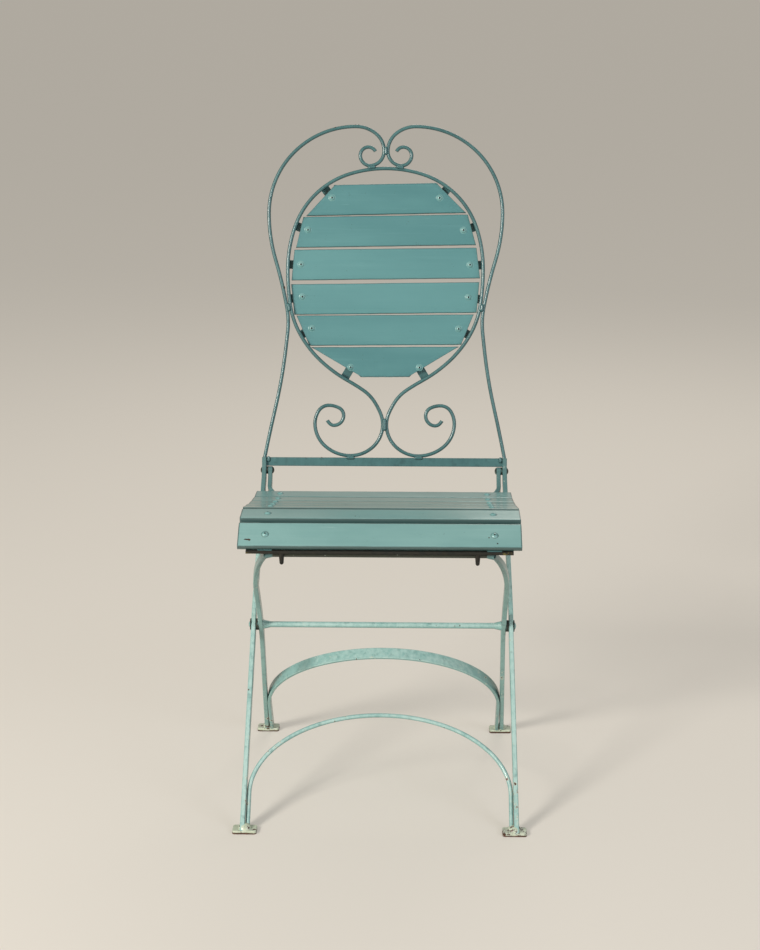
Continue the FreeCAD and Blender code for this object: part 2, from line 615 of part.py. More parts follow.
def back_slats(parts):
    """Six clipped slats behind the ring, each on two lugs with a bolt and nut at each."""
    grip = BACK_SLAT_THICK + LUG_THICK
    front = FreeCAD.Vector(0, -1, 0)
    lugs, bolts, nuts = [], [], []
    top = CROWN_UP
    for number, (*shares, tilt) in enumerate(BACK_SLATS, 1):
        gap, inset_top, inset_low, lug_up = [share * BACK_SLAT_WIDTH for share in shares]
        top -= gap
        low = top - BACK_SLAT_WIDTH
        wide_top = on_ring(top)[0].x - inset_top
        wide_low = on_ring(low)[0].x - inset_low
        corners = [FreeCAD.Vector(x, BACK_SLAT_BACKSET, z) for x, z in
                   ((-wide_top, top), (wide_top, top), (wide_low, low), (-wide_low, low))]
        slat = Part.Face(Part.makePolygon(corners + corners[:1])).extrude(Y_AXIS * BACK_SLAT_THICK)
        slat = slat.makeFillet(BACK_SLAT_EDGE, slat.Edges)
        slat.rotate(FreeCAD.Vector(0, 0, (top + low) / 2), Y_AXIS, -tilt)
        foot, away = on_ring(low + lug_up)
        blank = lug(foot, away)
        place = foot - away * LUG_REACH + Y_AXIS * BACK_SLAT_BACKSET
        hole = aimed(bolt_hole(), place, front)
        slat = slat.cut(hole).cut(mirrored(hole))
        parts["back_slat_%d" % number] = stand(slat, BACK_PLANE)
        lug_solid = stand(blank.cut(hole), BACK_PLANE).cut(parts["medallion_ring"])
        screw = stand(aimed(bolt(grip), place, front), BACK_PLANE)
        collar = stand(aimed(nut(grip), place, front), BACK_PLANE)
        lugs += [lug_solid, mirrored(lug_solid)]
        bolts += [screw, mirrored(screw)]
        nuts += [collar, mirrored(collar)]
        top = low
    parts["back_slat_lugs"] = lugs
    parts["back_slat_bolts"] = bolts
    parts["back_slat_nuts"] = nuts


def seat_line():
    """Line that the slats' undersides follow: start of each slat, front to back, and the end."""
    starts = [(SEAT_FRONT_Y, SEAT_FRONT_Z)]
    for slope in SEAT_SLOPES:
        y, z = starts[-1]
        a = radians(slope)
        starts.append((y + SEAT_SLAT_WIDTH * cos(a), z + SEAT_SLAT_WIDTH * sin(a)))
        y, z = starts[-1]
        if slope == SEAT_SLOPES[0]:
            starts[-1] = (y + SEAT_STEP_BACK, z + SEAT_STEP_UP)
        elif len(starts) <= len(SEAT_SLOPES):
            a = radians(slope)
            starts[-1] = (y + SEAT_SLAT_GAP * cos(a), z + SEAT_SLAT_GAP * sin(a))
    return starts


def seat_slats(parts):
    """Seven slats, each bolted through both rails."""
    grip = SEAT_SLAT_THICK + RAIL_THICK
    bolts, nuts, holes = [], [], []
    for number, (slope, (y, z)) in enumerate(zip(SEAT_SLOPES, seat_line()), 1):
        a = radians(slope)
        slat = rounded_bar(SEAT_SLAT_LENGTH, SEAT_SLAT_WIDTH, SEAT_SLAT_THICK, SEAT_SLAT_EDGE)
        slat.rotate(ORIGIN, X_AXIS, slope)
        slat.translate(FreeCAD.Vector(0, y, z))
        up = FreeCAD.Vector(0, -sin(a), cos(a))
        run = FreeCAD.Vector(0, cos(a), sin(a))
        place = FreeCAD.Vector(RAIL_X, y, z) + run * (SEAT_SLAT_WIDTH / 2) + up * SEAT_SLAT_THICK
        hole = aimed(bolt_hole(), place, up)
        holes.append(hole)
        parts["seat_slat_%d" % number] = slat.cut(hole).cut(mirrored(hole))
        screw = aimed(bolt(grip), place, up)
        collar = aimed(nut(grip), place, up)
        bolts += [screw, mirrored(screw)]
        nuts += [collar, mirrored(collar)]
    parts["seat_bolts"] = bolts
    parts["seat_nuts"] = nuts
    return holes


def rail_twist(y, z, slope):
    """Rear end of a rail: it turns on edge while it climbs to the seat rivet."""
    lead = (RIVET_Y - y) * TWIST_LEAD
    bend_y = y + lead
    bend_z = z + lead * tan(radians(slope))
    sections = []
    for step in range(TWIST_STEPS + 1):
        share = step / TWIST_STEPS
        rest = 1 - share
        part = min(1.0, share / TWIST_END)
        ease = part * part * (3 - 2 * part)
        place = FreeCAD.Vector(RAIL_X + (EYE_X - RAIL_X) * ease,
                               rest * rest * y + 2 * rest * share * bend_y + share * share * RIVET_Y,
                               rest * rest * z + 2 * rest * share * bend_z + share * share * RIVET_Z)
        climb = atan2(rest * (bend_z - z) + share * (RIVET_Z - bend_z),
                      rest * (bend_y - y) + share * (RIVET_Y - bend_y))
        up = FreeCAD.Vector(0, -sin(climb), cos(climb))
        turn = ease * pi / 2
        wide = X_AXIS * cos(turn) + up * sin(turn)
        thick = up * cos(turn) - X_AXIS * sin(turn)
        half_width = ramp(share, 0, 1, RAIL_WIDTH / 2, RAIL_EYE_BLEND * RAIL_EYE_RADIUS)
        sections.append(eased_section(place, wide, thick, half_width, RAIL_THICK / 2, RAIL_EASE))
    return Part.makeLoft(sections, True, False)


def seat_rails(parts, holes):
    """Two flat rails under the slats, the front strip and its two hook pegs."""
    line = seat_line()
    a = radians(SEAT_SLOPES[0])
    front_end = (line[0][0] + SEAT_SLAT_WIDTH * cos(a), line[0][1] + SEAT_SLAT_WIDTH * sin(a))
    corners = [line[0], front_end] + line[1:]
    slopes = [degrees(atan2(q[1] - p[1], q[0] - p[0])) for p, q in zip(corners[:-1], corners[1:])]
    sections = []
    for k, (y, z) in enumerate(corners):
        before = slopes[max(k - 1, 0)]
        after = slopes[min(k, len(slopes) - 1)]
        a = radians((before + after) / 2)
        mitre = 1 / cos(radians((after - before) / 2))
        up = FreeCAD.Vector(0, -sin(a), cos(a)) * mitre
        place = FreeCAD.Vector(RAIL_X, y, z) - up * (RAIL_THICK / 2)
        sections.append(eased_section(place, X_AXIS, up, RAIL_WIDTH / 2, RAIL_THICK / 2, RAIL_EASE))
    a = radians(SEAT_SLOPES[0])
    nose = FreeCAD.Vector(0, -cos(a), -sin(a)) * (2 * RAIL_THICK)
    first = sections[0].copy()
    first.translate(nose)
    flat = Part.makeLoft([first] + sections, True, True)
    corner = FreeCAD.Vector(0, STRIP_FRONT_Y + 2 * STRIP_DEPTH - FAR, STRIP_TOP - FAR)
    flat = flat.cut(Part.makeBox(FAR, FAR, FAR, corner))
    a = radians(SEAT_SLOPES[-1])
    rear_y = line[-1][0] + RAIL_THICK / 2 * sin(a)
    rear_z = line[-1][1] - RAIL_THICK / 2 * cos(a)
    twist = rail_twist(rear_y, rear_z, SEAT_SLOPES[-1])
    eye = cylinder(RAIL_EYE_RADIUS, EYE_X - RAIL_THICK / 2, EYE_X + RAIL_THICK / 2, RIVET_Y, RIVET_Z)
    rail = flat.fuse([twist, eye])
    inner = EYE_X - RAIL_THICK / 2
    outer = EYE_X + RAIL_THICK / 2
    rail = rail.cut(cylinder(RIVET_DIA / 2 + HOLE_GAP, 0, PIVOT_X, RIVET_Y, RIVET_Z))
    rail = rail.cut(cylinder(RIVET_HEAD_DIA / 2 + RUN_GAP, 0, inner, RIVET_Y, RIVET_Z))
    rail = rail.cut(cylinder(RAIL_EYE_RADIUS + RUN_GAP, outer, PIVOT_X, RIVET_Y, RIVET_Z))
    for hole in holes:
        rail = rail.cut(hole)
    parts["seat_rail_right"] = rail
    parts["seat_rail_left"] = mirrored(rail)
    strip = Part.makeBox(2 * STRIP_HALF_LENGTH, STRIP_DEPTH, STRIP_THICK,
                         FreeCAD.Vector(-STRIP_HALF_LENGTH, STRIP_FRONT_Y, STRIP_BOTTOM))
    parts["seat_front_strip"] = strip.makeFillet(BAR_EASE, [e for e in strip.Edges
                                                            if e.BoundBox.XLength > STRIP_HALF_LENGTH])
    peg_y = CROSS_ROD_Y - CROSS_ROD_DIA / 2 - RUN_GAP - PEG_DIA / 2
    tip = PEG_TIP_DIA / 2
    place = FreeCAD.Vector(PEG_X, peg_y, STRIP_BOTTOM)
    peg = Part.makeCone(PEG_DIA / 2, tip, PEG_LENGTH - tip, place, -Z_AXIS)
    peg = peg.fuse(Part.makeSphere(tip, place - Z_AXIS * (PEG_LENGTH - tip)))
    parts["hook_pegs"] = [peg, mirrored(peg)]


def seat_rivets(parts):
    """Rivets on which the seat turns, and the spacers between rail and leg."""
    outer = BACK_X + LEG_THICK / 2
    inner = EYE_X - RAIL_THICK / 2 - RUN_GAP
    shank = cylinder(RIVET_DIA / 2, inner, outer, RIVET_Y, RIVET_Z)
    head = dome(RIVET_HEAD_DIA / 2, RIVET_HEAD_HEIGHT)
    outside = aimed(head, FreeCAD.Vector(outer, RIVET_Y, RIVET_Z), X_AXIS)
    inside = aimed(head, FreeCAD.Vector(inner, RIVET_Y, RIVET_Z), -X_AXIS)
    rivet = shank.fuse([outside, inside]).removeSplitter()
    face = BACK_X - LEG_THICK / 2
    spacer = cylinder(RAIL_EYE_RADIUS, face - RAIL_SPACER, face, RIVET_Y, RIVET_Z)
    spacer = spacer.cut(cylinder(RIVET_DIA / 2, 0, face, RIVET_Y, RIVET_Z))
    parts["seat_rivets"] = [rivet, mirrored(rivet)]
    parts["seat_spacers"] = [spacer, mirrored(spacer)]


def write(parts):
    """Move the chair so that its origin is under its middle, and write every piece."""
    os.makedirs("parts", exist_ok=True)
    for name, shape in parts.items():
        solids = shape if isinstance(shape, list) else shape.Solids
        body = Part.makeCompound(solids) if len(solids) > 1 else solids[0]
        body = body.copy()
        body.translate(FreeCAD.Vector(0, -CENTRE_Y, 0))
        body.exportStep("parts/%s.step" % name)
        print("%-20s %2d solids %9.1f mm3 valid %s" % (name, len(solids), body.Volume, body.isValid()))


def build():
    """Make every piece of the chair."""
    parts = {}
    front_legs(parts)
    rear_legs(parts)
    pivot_rod(parts)
    rear_welds(parts)
    arches(parts)
    feet(parts)
    back_rods(parts)
    back_slats(parts)
    holes = seat_slats(parts)
    seat_rails(parts, holes)
    seat_rivets(parts)
    write(parts)


build()
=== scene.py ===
"""Dresses the folding garden chair: brushed blue-green paint, wood grain, wear, chips and rust."""

import json
import logging
import math
from dataclasses import dataclass, field
from enum import Enum
from typing import ClassVar, Dict, List, Optional, Sequence, Tuple, Union

import bpy
import numpy as np
from mathutils import Matrix, Vector
from mathutils.bvhtree import BVHTree


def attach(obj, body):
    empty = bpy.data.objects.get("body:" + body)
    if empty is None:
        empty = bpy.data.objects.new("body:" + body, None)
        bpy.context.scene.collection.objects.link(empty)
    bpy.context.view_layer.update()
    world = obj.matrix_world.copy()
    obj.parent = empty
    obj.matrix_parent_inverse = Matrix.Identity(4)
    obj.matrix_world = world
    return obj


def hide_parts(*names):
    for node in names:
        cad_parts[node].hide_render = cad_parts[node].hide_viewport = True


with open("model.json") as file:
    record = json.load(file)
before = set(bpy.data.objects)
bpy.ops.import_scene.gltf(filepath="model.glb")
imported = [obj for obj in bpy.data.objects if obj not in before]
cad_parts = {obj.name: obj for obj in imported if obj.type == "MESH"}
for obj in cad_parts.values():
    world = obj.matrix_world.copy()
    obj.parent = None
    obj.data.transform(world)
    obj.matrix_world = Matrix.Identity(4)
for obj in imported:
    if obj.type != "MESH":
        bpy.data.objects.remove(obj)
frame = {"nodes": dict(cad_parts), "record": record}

LOG = logging.getLogger("garden_chair")
Colour = Tuple[float, float, float]
MM = 0.001


def srgb(red: int, green: int, blue: int) -> Colour:
    """Turn an 8-bit screen colour into the linear numbers that shaders use.

    Args:
        red: Red, 0 to 255.
        green: Green, 0 to 255.
        blue: Blue, 0 to 255.

    Returns:
        The linear colour.
    """
    shares = [channel / 255 for channel in (red, green, blue)]
    return tuple(s / 12.92 if s <= 0.04045 else ((s + 0.055) / 1.055) ** 2.4 for s in shares)


class Body(Enum):
    """The rigid bodies that pieces ride on."""

    BACK = "back_frame"
    REAR = "rear_legs"
    SEAT = "seat"


class Slot(Enum):
    """The record's material slots."""

    SEAT_WOOD = "seat_wood"
    BACK_WOOD = "back_wood"
    BACK_IRON = "back_iron"
    LEG_IRON = "leg_iron"
    FOOT_IRON = "foot_iron"
    WORN_IRON = "worn_iron"
    RIVET_IRON = "rivet_iron"
    BOLT_IRON = "bolt_iron"


class Flow:
    """A node socket that can be used in Python sums. Each sum adds a Math node."""

    def __init__(self, book: "NodeBook", socket: bpy.types.NodeSocket) -> None:
        """Keep the socket and the book that it belongs to."""
        self.book = book
        self.socket = socket

    def __add__(self, other: "Number") -> "Flow":
        """Sum."""
        return self.book.math("ADD", self, other)

    def __radd__(self, other: "Number") -> "Flow":
        """Sum with the number first."""
        return self.book.math("ADD", other, self)

    def __sub__(self, other: "Number") -> "Flow":
        """Difference."""
        return self.book.math("SUBTRACT", self, other)

    def __rsub__(self, other: "Number") -> "Flow":
        """Difference with the number first."""
        return self.book.math("SUBTRACT", other, self)

    def __mul__(self, other: "Number") -> "Flow":
        """Product."""
        return self.book.math("MULTIPLY", self, other)

    def __truediv__(self, other: "Number") -> "Flow":
        """Quotient."""
        return self.book.math("DIVIDE", self, other)


Number = Union[Flow, float]


class NodeBook:
    """Writes nodes into one tree, for a material or for geometry."""

    def __init__(self, tree: bpy.types.NodeTree) -> None:
        """Keep the tree."""
        self.tree = tree

    def feed(self, socket: bpy.types.NodeSocket, value: object) -> None:
        """Link a flow to a socket, or set the socket's own value.

        Args:
            socket: The input to fill.
            value: A flow, a number, a vector, a colour or a data-block.
        """
        if isinstance(value, Flow):
            self.tree.links.new(value.socket, socket)
        elif isinstance(value, (tuple, list)) and len(value) == 3 and socket.type == "RGBA":
            socket.default_value = (*value, 1.0)
        else:
            socket.default_value = value

    def node(self, kind: str, settings: Optional[Dict] = None, inputs: Optional[Dict] = None,
             output: Union[int, str] = 0) -> Optional[Flow]:
        """Add one node.

        Args:
            kind: The node's type name.
            settings: Attributes that are set before the inputs.
            inputs: Values or flows by the socket's name or number.
            output: The output to give back, by name or number.

        Returns:
            The chosen output, or None for a node that has none.
        """
        made = self.tree.nodes.new(kind)
        for name, value in (settings or {}).items():
            setattr(made, name, value)
        for name, value in (inputs or {}).items():
            self.feed(made.inputs[name], value)
        return Flow(self, made.outputs[output]) if made.outputs else None

    def math(self, operation: str, first: Number, second: Number = 0.0) -> Flow:
        """Add a Math node.

        Args:
            operation: The node's operation.
            first: First value.
            second: Second value.

        Returns:
            The result.
        """
        return self.node("ShaderNodeMath", {"operation": operation}, {0: first, 1: second})

    def vector(self, operation: str, first: object, second: object = None,
               scale: Optional[Number] = None) -> Flow:
        """Add a Vector Math node.

        Args:
            operation: The node's operation.
            first: First vector.
            second: Second vector, where the operation has one.
            scale: Scale, where the operation has one.

        Returns:
            The resulting vector.
        """
        inputs = {0: first}
        if second is not None:
            inputs[1] = second
        if scale is not None:
            inputs["Scale"] = scale
        return self.node("ShaderNodeVectorMath", {"operation": operation}, inputs)

    def smooth(self, value: Number, low: float, high: float, start: float = 0.0, end: float = 1.0) -> Flow:
        """Smooth step of a value from start to end while it goes from low to high."""
        settings = {"interpolation_type": "SMOOTHSTEP", "clamp": True}
        if high < low:
            low, high, start, end = high, low, end, start
        inputs = {"Value": value, "From Min": low, "From Max": high, "To Min": start, "To Max": end}
        return self.node("ShaderNodeMapRange", settings, inputs)

    def combine(self, x: Number, y: Number, z: Number) -> Flow:
        """Vector from three numbers."""
        return self.node("ShaderNodeCombineXYZ", inputs={0: x, 1: y, 2: z})

    def split(self, vector: Flow) -> Tuple[Flow, Flow, Flow]:
        """The three numbers of a vector."""
        made = self.node("ShaderNodeSeparateXYZ", inputs={0: vector}).socket.node
        return tuple(Flow(self, made.outputs[axis]) for axis in range(3))


class PaintBook(NodeBook):
    """Writes the node tree of one material."""

    COAT_ROUGHNESS = 0.18

    def __init__(self, name: str) -> None:
        """Start an empty material.

        Args:
            name: The material's name.
        """
        self.material = bpy.data.materials.new(name)
        self.material.use_nodes = True
        super().__init__(self.material.node_tree)
        self.tree.nodes.clear()
        self.place = self.node("ShaderNodeTexCoord", output="Object")

    def stretched(self, scale: Tuple[float, float, float], turn: float = 0.0, lean: float = 0.0) -> Flow:
        """Object coordinates scaled along each axis, for grain and brush marks.

        Args:
            scale: Scale along X, Y and Z.
            turn: Turn about Z in degrees.
            lean: Turn about X in degrees.

        Returns:
            The scaled coordinates.
        """
        angles = (math.radians(lean), 0.0, math.radians(turn))
        return self.node("ShaderNodeMapping", {"vector_type": "POINT"},
                         {"Vector": self.place, "Scale": scale, "Rotation": angles})

    def noise(self, vector: Optional[Flow], scale: float, detail: float = 3.0, rough: float = 0.55) -> Flow:
        """Value of a noise texture.

        Args:
            vector: Coordinates, or None for object coordinates.
            scale: Scale of the noise.
            detail: How many layers of finer noise it has.
            rough: How strong the finer layers are.

        Returns:
            The noise, from 0 to 1.
        """
        inputs = {"Vector": vector or self.place, "Scale": scale, "Detail": detail, "Roughness": rough}
        return self.node("ShaderNodeTexNoise", {"noise_dimensions": "3D"}, inputs, "Fac")

    def cells(self, vector: Flow, scale: float) -> Flow:
        """Distance to the nearest middle of a cell texture.

        Args:
            vector: Coordinates.
            scale: Scale of the cells.

        Returns:
            The distance.
        """
        inputs = {"Vector": vector, "Scale": scale}
        return self.node("ShaderNodeTexVoronoi", {"feature": "F1"}, inputs, "Distance")

    def mix(self, mask: Number, under: object, over: object) -> Flow:
        """Lay one colour over another where a mask says.

        Args:
            mask: 0 shows the colour under, 1 the colour over.
            under: Colour or flow.
            over: Colour or flow.

        Returns:
            The mixed colour.
        """
        return self.node("ShaderNodeMix", {"data_type": "RGBA", "clamp_factor": True},
                         {0: mask, 6: under, 7: over}, 2)

    def attribute(self, name: str) -> Flow:
        """Value that the mesh carries under a name."""
        return self.node("ShaderNodeAttribute", {"attribute_name": name}, output="Fac")

    def bump(self, height: Flow, distance: float, strength: float = 1.0) -> Flow:
        """Normal of a surface with a relief.

        Args:
            height: The relief, from 0 to 1.
            distance: Height of the relief in metres.
            strength: How strongly it shows.

        Returns:
            The normal.
        """
        inputs = {"Height": height, "Distance": distance, "Strength": strength}
        return self.node("ShaderNodeBump", inputs=inputs)

    def finish(self, colour: object, roughness: Number, normal: Optional[Flow] = None,
               metallic: Number = 0.0, coat: Number = 0.0) -> bpy.types.Material:
        """Close the tree with the shader and the output.

        Args:
            colour: Base colour.
            roughness: Roughness.
            normal: Normal, where the surface has a relief.
            metallic: Share of bare metal.
            coat: Weight of the clear gloss over the paint.

        Returns:
            The finished material.
        """
        inputs = {"Base Color": colour, "Roughness": roughness, "Metallic": metallic, "Coat Weight": coat}
        if normal is not None:
            inputs["Normal"] = normal
        shader = self.node("ShaderNodeBsdfPrincipled", inputs=inputs)
        shader.socket.node.inputs["Coat Roughness"].default_value = self.COAT_ROUGHNESS
        self.node("ShaderNodeOutputMaterial", inputs={"Surface": shader})
        return self.material


@dataclass(frozen=True)
class BoardPaint:
    """Brushed paint on a softwood board, with grain, brush marks, scuffs and worn edges, and painted shade on
    the board's sides and the rounds of its long edges, where the gaps between slats fall dark.
    """

    RELIEF: ClassVar[float] = 0.3 * MM
    GLOSS_SHIFTS: ClassVar[Tuple[float, ...]] = (0.10, 0.12, 0.40, 0.15)

    name: str
    slot: Slot
    paint: Colour
    pale: Colour
    deep: Colour
    wood: Colour = srgb(92, 66, 44)
    grime: Colour = srgb(38, 46, 40)
    # shade: colour of the painted shade on the boards' sides and edges
    shade: Colour = srgb(34, 58, 58)
    # how strong the painted shade on the edges is, and how far in from the side it reaches, in millimetres
    edge_shade: float = 0.35
    shade_reach: float = 1.3
    lean: float = 0.0
    gloss: float = 0.28
    coat: float = 0.25
    wear: float = 0.5

    def make(self) -> bpy.types.Material:
        """Build the material.

        Returns:
            The material.
        """
        book = PaintBook(self.name)
        edge = book.attribute("edge_mm")
        tone = book.attribute("tone")
        broad = book.noise(book.stretched((4.0, 14.0, 14.0)), 1.0, 3.0)
        fibre = book.noise(book.stretched((5.0, 230.0, 230.0)), 1.0, 6.0, 0.62)
        brush = book.noise(book.stretched((16.0, 700.0, 700.0)), 1.0, 3.0, 0.6)
        specks = book.cells(book.stretched((170.0, 420.0, 420.0)), 1.0)
        speck_pick = book.noise(book.stretched((45.0, 60.0, 60.0)), 1.0, 2.0)
        scratch = book.noise(book.stretched((24.0, 900.0, 500.0), turn=11.0, lean=self.lean), 1.0, 2.0)
        scuff = book.noise(book.stretched((26.0, 55.0, 55.0)), 1.0, 5.0, 0.7)
        ragged = book.noise(None, 240.0, 5.0, 0.72)
        colour = book.mix(book.smooth(broad, 0.32, 0.68), self.deep, self.paint)
        colour = book.mix(book.smooth(tone, 0.0, 1.0, 0.0, 0.45), colour, self.pale)
        colour = book.mix(book.smooth(fibre, 0.50, 0.78, 0.0, 0.22), colour, self.pale)
        colour = book.mix(book.smooth(fibre, 0.42, 0.24, 0.0, 0.28), colour, self.deep)
        scratches = book.smooth(scratch, 0.70, 0.76) * book.smooth(scuff, 0.46, 0.60)
        colour = book.mix(scratches * 0.55, colour, self.pale)
        dots = book.smooth(specks, 0.16, 0.08) * book.smooth(speck_pick, 0.62, 0.68)
        rub = book.smooth(edge + (ragged - 0.5) * 4.0, 0.9, 0.1)
        rub = rub * book.smooth(scuff, 0.68 - 0.2 * self.wear, 0.76)
        # Painted shade: the boards' sides and the rounds of their long edges darken to the shade colour,
        # standing for the dark gaps between slats.
        painted_shade = book.smooth(edge + (scuff - 0.5) * 1.0, self.shade_reach, 0.12 * self.shade_reach,
                            0.0, self.edge_shade)
        colour = book.mix(painted_shade, colour, self.shade)
        colour = book.mix(dots * 0.8, colour, self.grime)
        colour = book.mix(rub, colour, book.mix(book.smooth(fibre, 0.4, 0.6), self.wood, self.grime))
        by_broad, by_fibre, by_rub, by_scratch = self.GLOSS_SHIFTS
        roughness = self.gloss + broad * by_broad + fibre * by_fibre + rub * by_rub + scratches * by_scratch
        relief = fibre * 0.45 + brush * 0.25 + broad * 0.3 - rub * 0.6 - dots * 0.4 - scratches * 0.2
        return book.finish(colour, roughness, book.bump(relief, self.RELIEF, 0.5), coat=self.coat)


@dataclass(frozen=True)
class IronPaint:
    """Thick brushed paint on bar iron, with chips down to rust and pale primer. It paints light too: a
    highlight on faces turned to the front and up, shade on faces turned down and back, and shade on the upper
    parts under the seat where upper is given.
    """

    RELIEF: ClassVar[float] = 0.4 * MM
    COAT: ClassVar[float] = 0.45
    CHIP_RANGE: ClassVar[float] = 0.22
    UPPER_RISE: ClassVar[Tuple[float, float]] = (0.36, 0.43)
    LOW_TOP: ClassVar[float] = 0.26
    BURNT: ClassVar[Colour] = srgb(48, 32, 24)

    name: str
    slot: Slot
    paint: Colour
    # pale: colour of the painted highlight on faces turned to the light
    pale: Colour
    # deep: colour of the painted shade on faces turned away from the light, and of the darker brush lumps
    deep: Colour
    rust: Colour = srgb(92, 52, 30)
    primer: Colour = srgb(196, 206, 192)
    # upper: colour of the painted shade on the parts high up under the seat
    upper: Optional[Colour] = None
    gloss: float = 0.28
    chips: float = 0.25
    low_wear: float = 0.0
    # how far the paint runs break up the painted highlight
    highlight_streaks: float = 0.8
    sole: float = 0.0

    def make(self) -> bpy.types.Material:
        """Build the material.

        Returns:
            The material.
        """
        book = PaintBook(self.name)
        height = book.split(book.place)[2]
        broad = book.noise(None, 16.0, 3.0)
        runs = book.noise(book.stretched((160.0, 160.0, 38.0)), 1.0, 3.0, 0.6)
        fine = book.noise(None, 420.0, 4.0, 0.6)
        lumps = book.noise(None, 120.0, 3.0, 0.5)
        flake = book.noise(None, 95.0, 6.0, 0.74)
        patch = book.noise(None, 21.0, 3.0, 0.6)
        side = book.split(book.node("ShaderNodeTexCoord", output="Normal"))
        # Painted light: faces turned to the front and up get the paint and then the pale painted highlight,
        # faces turned down and back get the deep painted shade.
        facing_light = side[2] * 0.45 - side[1] * 0.75 + (broad - 0.5) * 0.6
        colour = book.mix(book.smooth(facing_light, -0.25, 0.55), self.deep, self.paint)
        lit = book.smooth(facing_light + (runs - 0.5) * self.highlight_streaks, 0.55, 1.0, 0.0, 0.8)
        colour = book.mix(lit, colour, self.pale)
        colour = book.mix(book.smooth(lumps, 0.44, 0.28, 0.0, 0.30), colour, self.deep)
        # Painted shade: the parts high up, under the seat, darken towards the upper colour.
        if self.upper is not None:
            rise = height + (broad - 0.5) * 0.05
            colour = book.mix(book.smooth(rise, *self.UPPER_RISE, 0.0, 0.9), colour, self.upper)
        low = book.smooth(height, self.LOW_TOP, 0.0, 0.0, self.low_wear)
        ease = self.chips * self.CHIP_RANGE
        bare = book.smooth(flake + patch * 0.5 + low * 0.35, 1.02 - ease, 1.06 - ease)
        halo = book.smooth(flake + patch * 0.5 + low * 0.35, 0.97 - ease, 1.03 - ease)
        colour = book.mix(halo, colour, self.primer)
        rusty = book.mix(book.smooth(fine, 0.35, 0.65), self.rust, self.BURNT)
        if self.sole:
            damp = height + (patch - 0.5) * self.sole * 2.0
            bare = book.math("MAXIMUM", bare, book.smooth(damp, self.sole, self.sole * 0.5))
        colour = book.mix(bare, colour, rusty)
        roughness = self.gloss + fine * 0.08 + broad * 0.08 + halo * 0.2 + bare * 0.35
        relief = lumps * 0.5 + fine * 0.15 + runs * 0.35 - bare * 0.5
        return book.finish(colour, roughness, book.bump(relief, self.RELIEF, 0.6), coat=self.COAT)


@dataclass(frozen=True)
class BareIron:
    """Rubbed dark iron with brown rust and traces of paint."""

    RELIEF: ClassVar[float] = 0.4 * MM

    name: str
    slot: Slot
    metal: Colour
    rust: Colour
    trace: Colour
    trace_share: float = 0.35
    roughness: float = 0.48
    shine: float = 0.6

    def make(self) -> bpy.types.Material:
        """Build the material.

        Returns:
            The material.
        """
        book = PaintBook(self.name)
        broad = book.noise(None, 38.0, 4.0, 0.6)
        fine = book.noise(None, 320.0, 5.0, 0.65)
        stain = book.noise(None, 130.0, 4.0, 0.6)
        level = 0.72 - 0.4 * self.trace_share
        traces = book.smooth(broad + (fine - 0.5) * 0.4, level, level + 0.04)
        colour = book.mix(book.smooth(stain, 0.40, 0.62), self.metal, self.rust)
        colour = book.mix(traces, colour, self.trace)
        roughness = self.roughness + fine * 0.25 - traces * 0.15
        metal = book.smooth(stain, 0.5, 0.3, 0.0, self.shine) * (1.0 - traces)
        return book.finish(colour, roughness, book.bump(fine * 0.6 + stain * 0.4, self.RELIEF, 0.6), metal)


def paint_node(node: str, material: bpy.types.Material) -> None:
    """Give a carried-over piece its finish.

    Args:
        node: The piece's name.
        material: The finish.
    """
    piece = frame["nodes"][node]
    for holder in piece.material_slots:
        holder.material = material
    if not piece.material_slots:
        piece.data.materials.append(material)
    LOG.info("painted %s with %s", node, material.name)


@dataclass
class Board:
    """One slat, read from its solid: centre, axes and half sizes."""

    EDGE_BAND: ClassVar[float] = 3.2 * MM

    centre: Vector
    along: Vector
    across: Vector
    out: Vector
    half_low: float
    half_top: float
    half_width: float
    half_thick: float

    @classmethod
    def from_node(cls, node: str, up_hint: Vector, out_hint: Vector) -> "Board":
        """Measure a slat's solid.

        Args:
            node: The slat's name.
            up_hint: Rough direction from its lower or front edge to the other.
            out_hint: Rough direction out of its face.

        Returns:
            The measured board.
        """
        points = np.array([v.co for v in frame["nodes"][node].data.vertices], float)
        low, high = points.min(0), points.max(0)
        middle = (low + high) / 2
        unique = np.unique(np.round(points, 6), axis=0)
        spread = np.cov((unique - unique.mean(0)).T)
        vectors = np.linalg.eigh(spread)[1]
        long_axis = Vector(vectors[:, 2]).normalized()
        if long_axis.x < 0:
            long_axis.negate()
        wide_axis = Vector(vectors[:, 1]).normalized()
        if wide_axis.dot(up_hint) < 0:
            wide_axis.negate()
        out_axis = long_axis.cross(wide_axis)
        if out_axis.dot(out_hint) < 0:
            out_axis.negate()
        local = np.stack([(points - middle) @ np.array(axis) for axis in (long_axis, wide_axis, out_axis)], 1)
        shift = (local.min(0) + local.max(0)) / 2
        half = (local.max(0) - local.min(0)) / 2
        local -= shift
        centre = Vector(middle) + long_axis * shift[0] + wide_axis * shift[1] + out_axis * shift[2]
        top = np.abs(local[local[:, 1] > half[1] - cls.EDGE_BAND][:, 0]).max()
        foot = np.abs(local[local[:, 1] < cls.EDGE_BAND - half[1]][:, 0]).max()
        return cls(centre, long_axis, wide_axis, out_axis, foot, top, half[1], half[2])


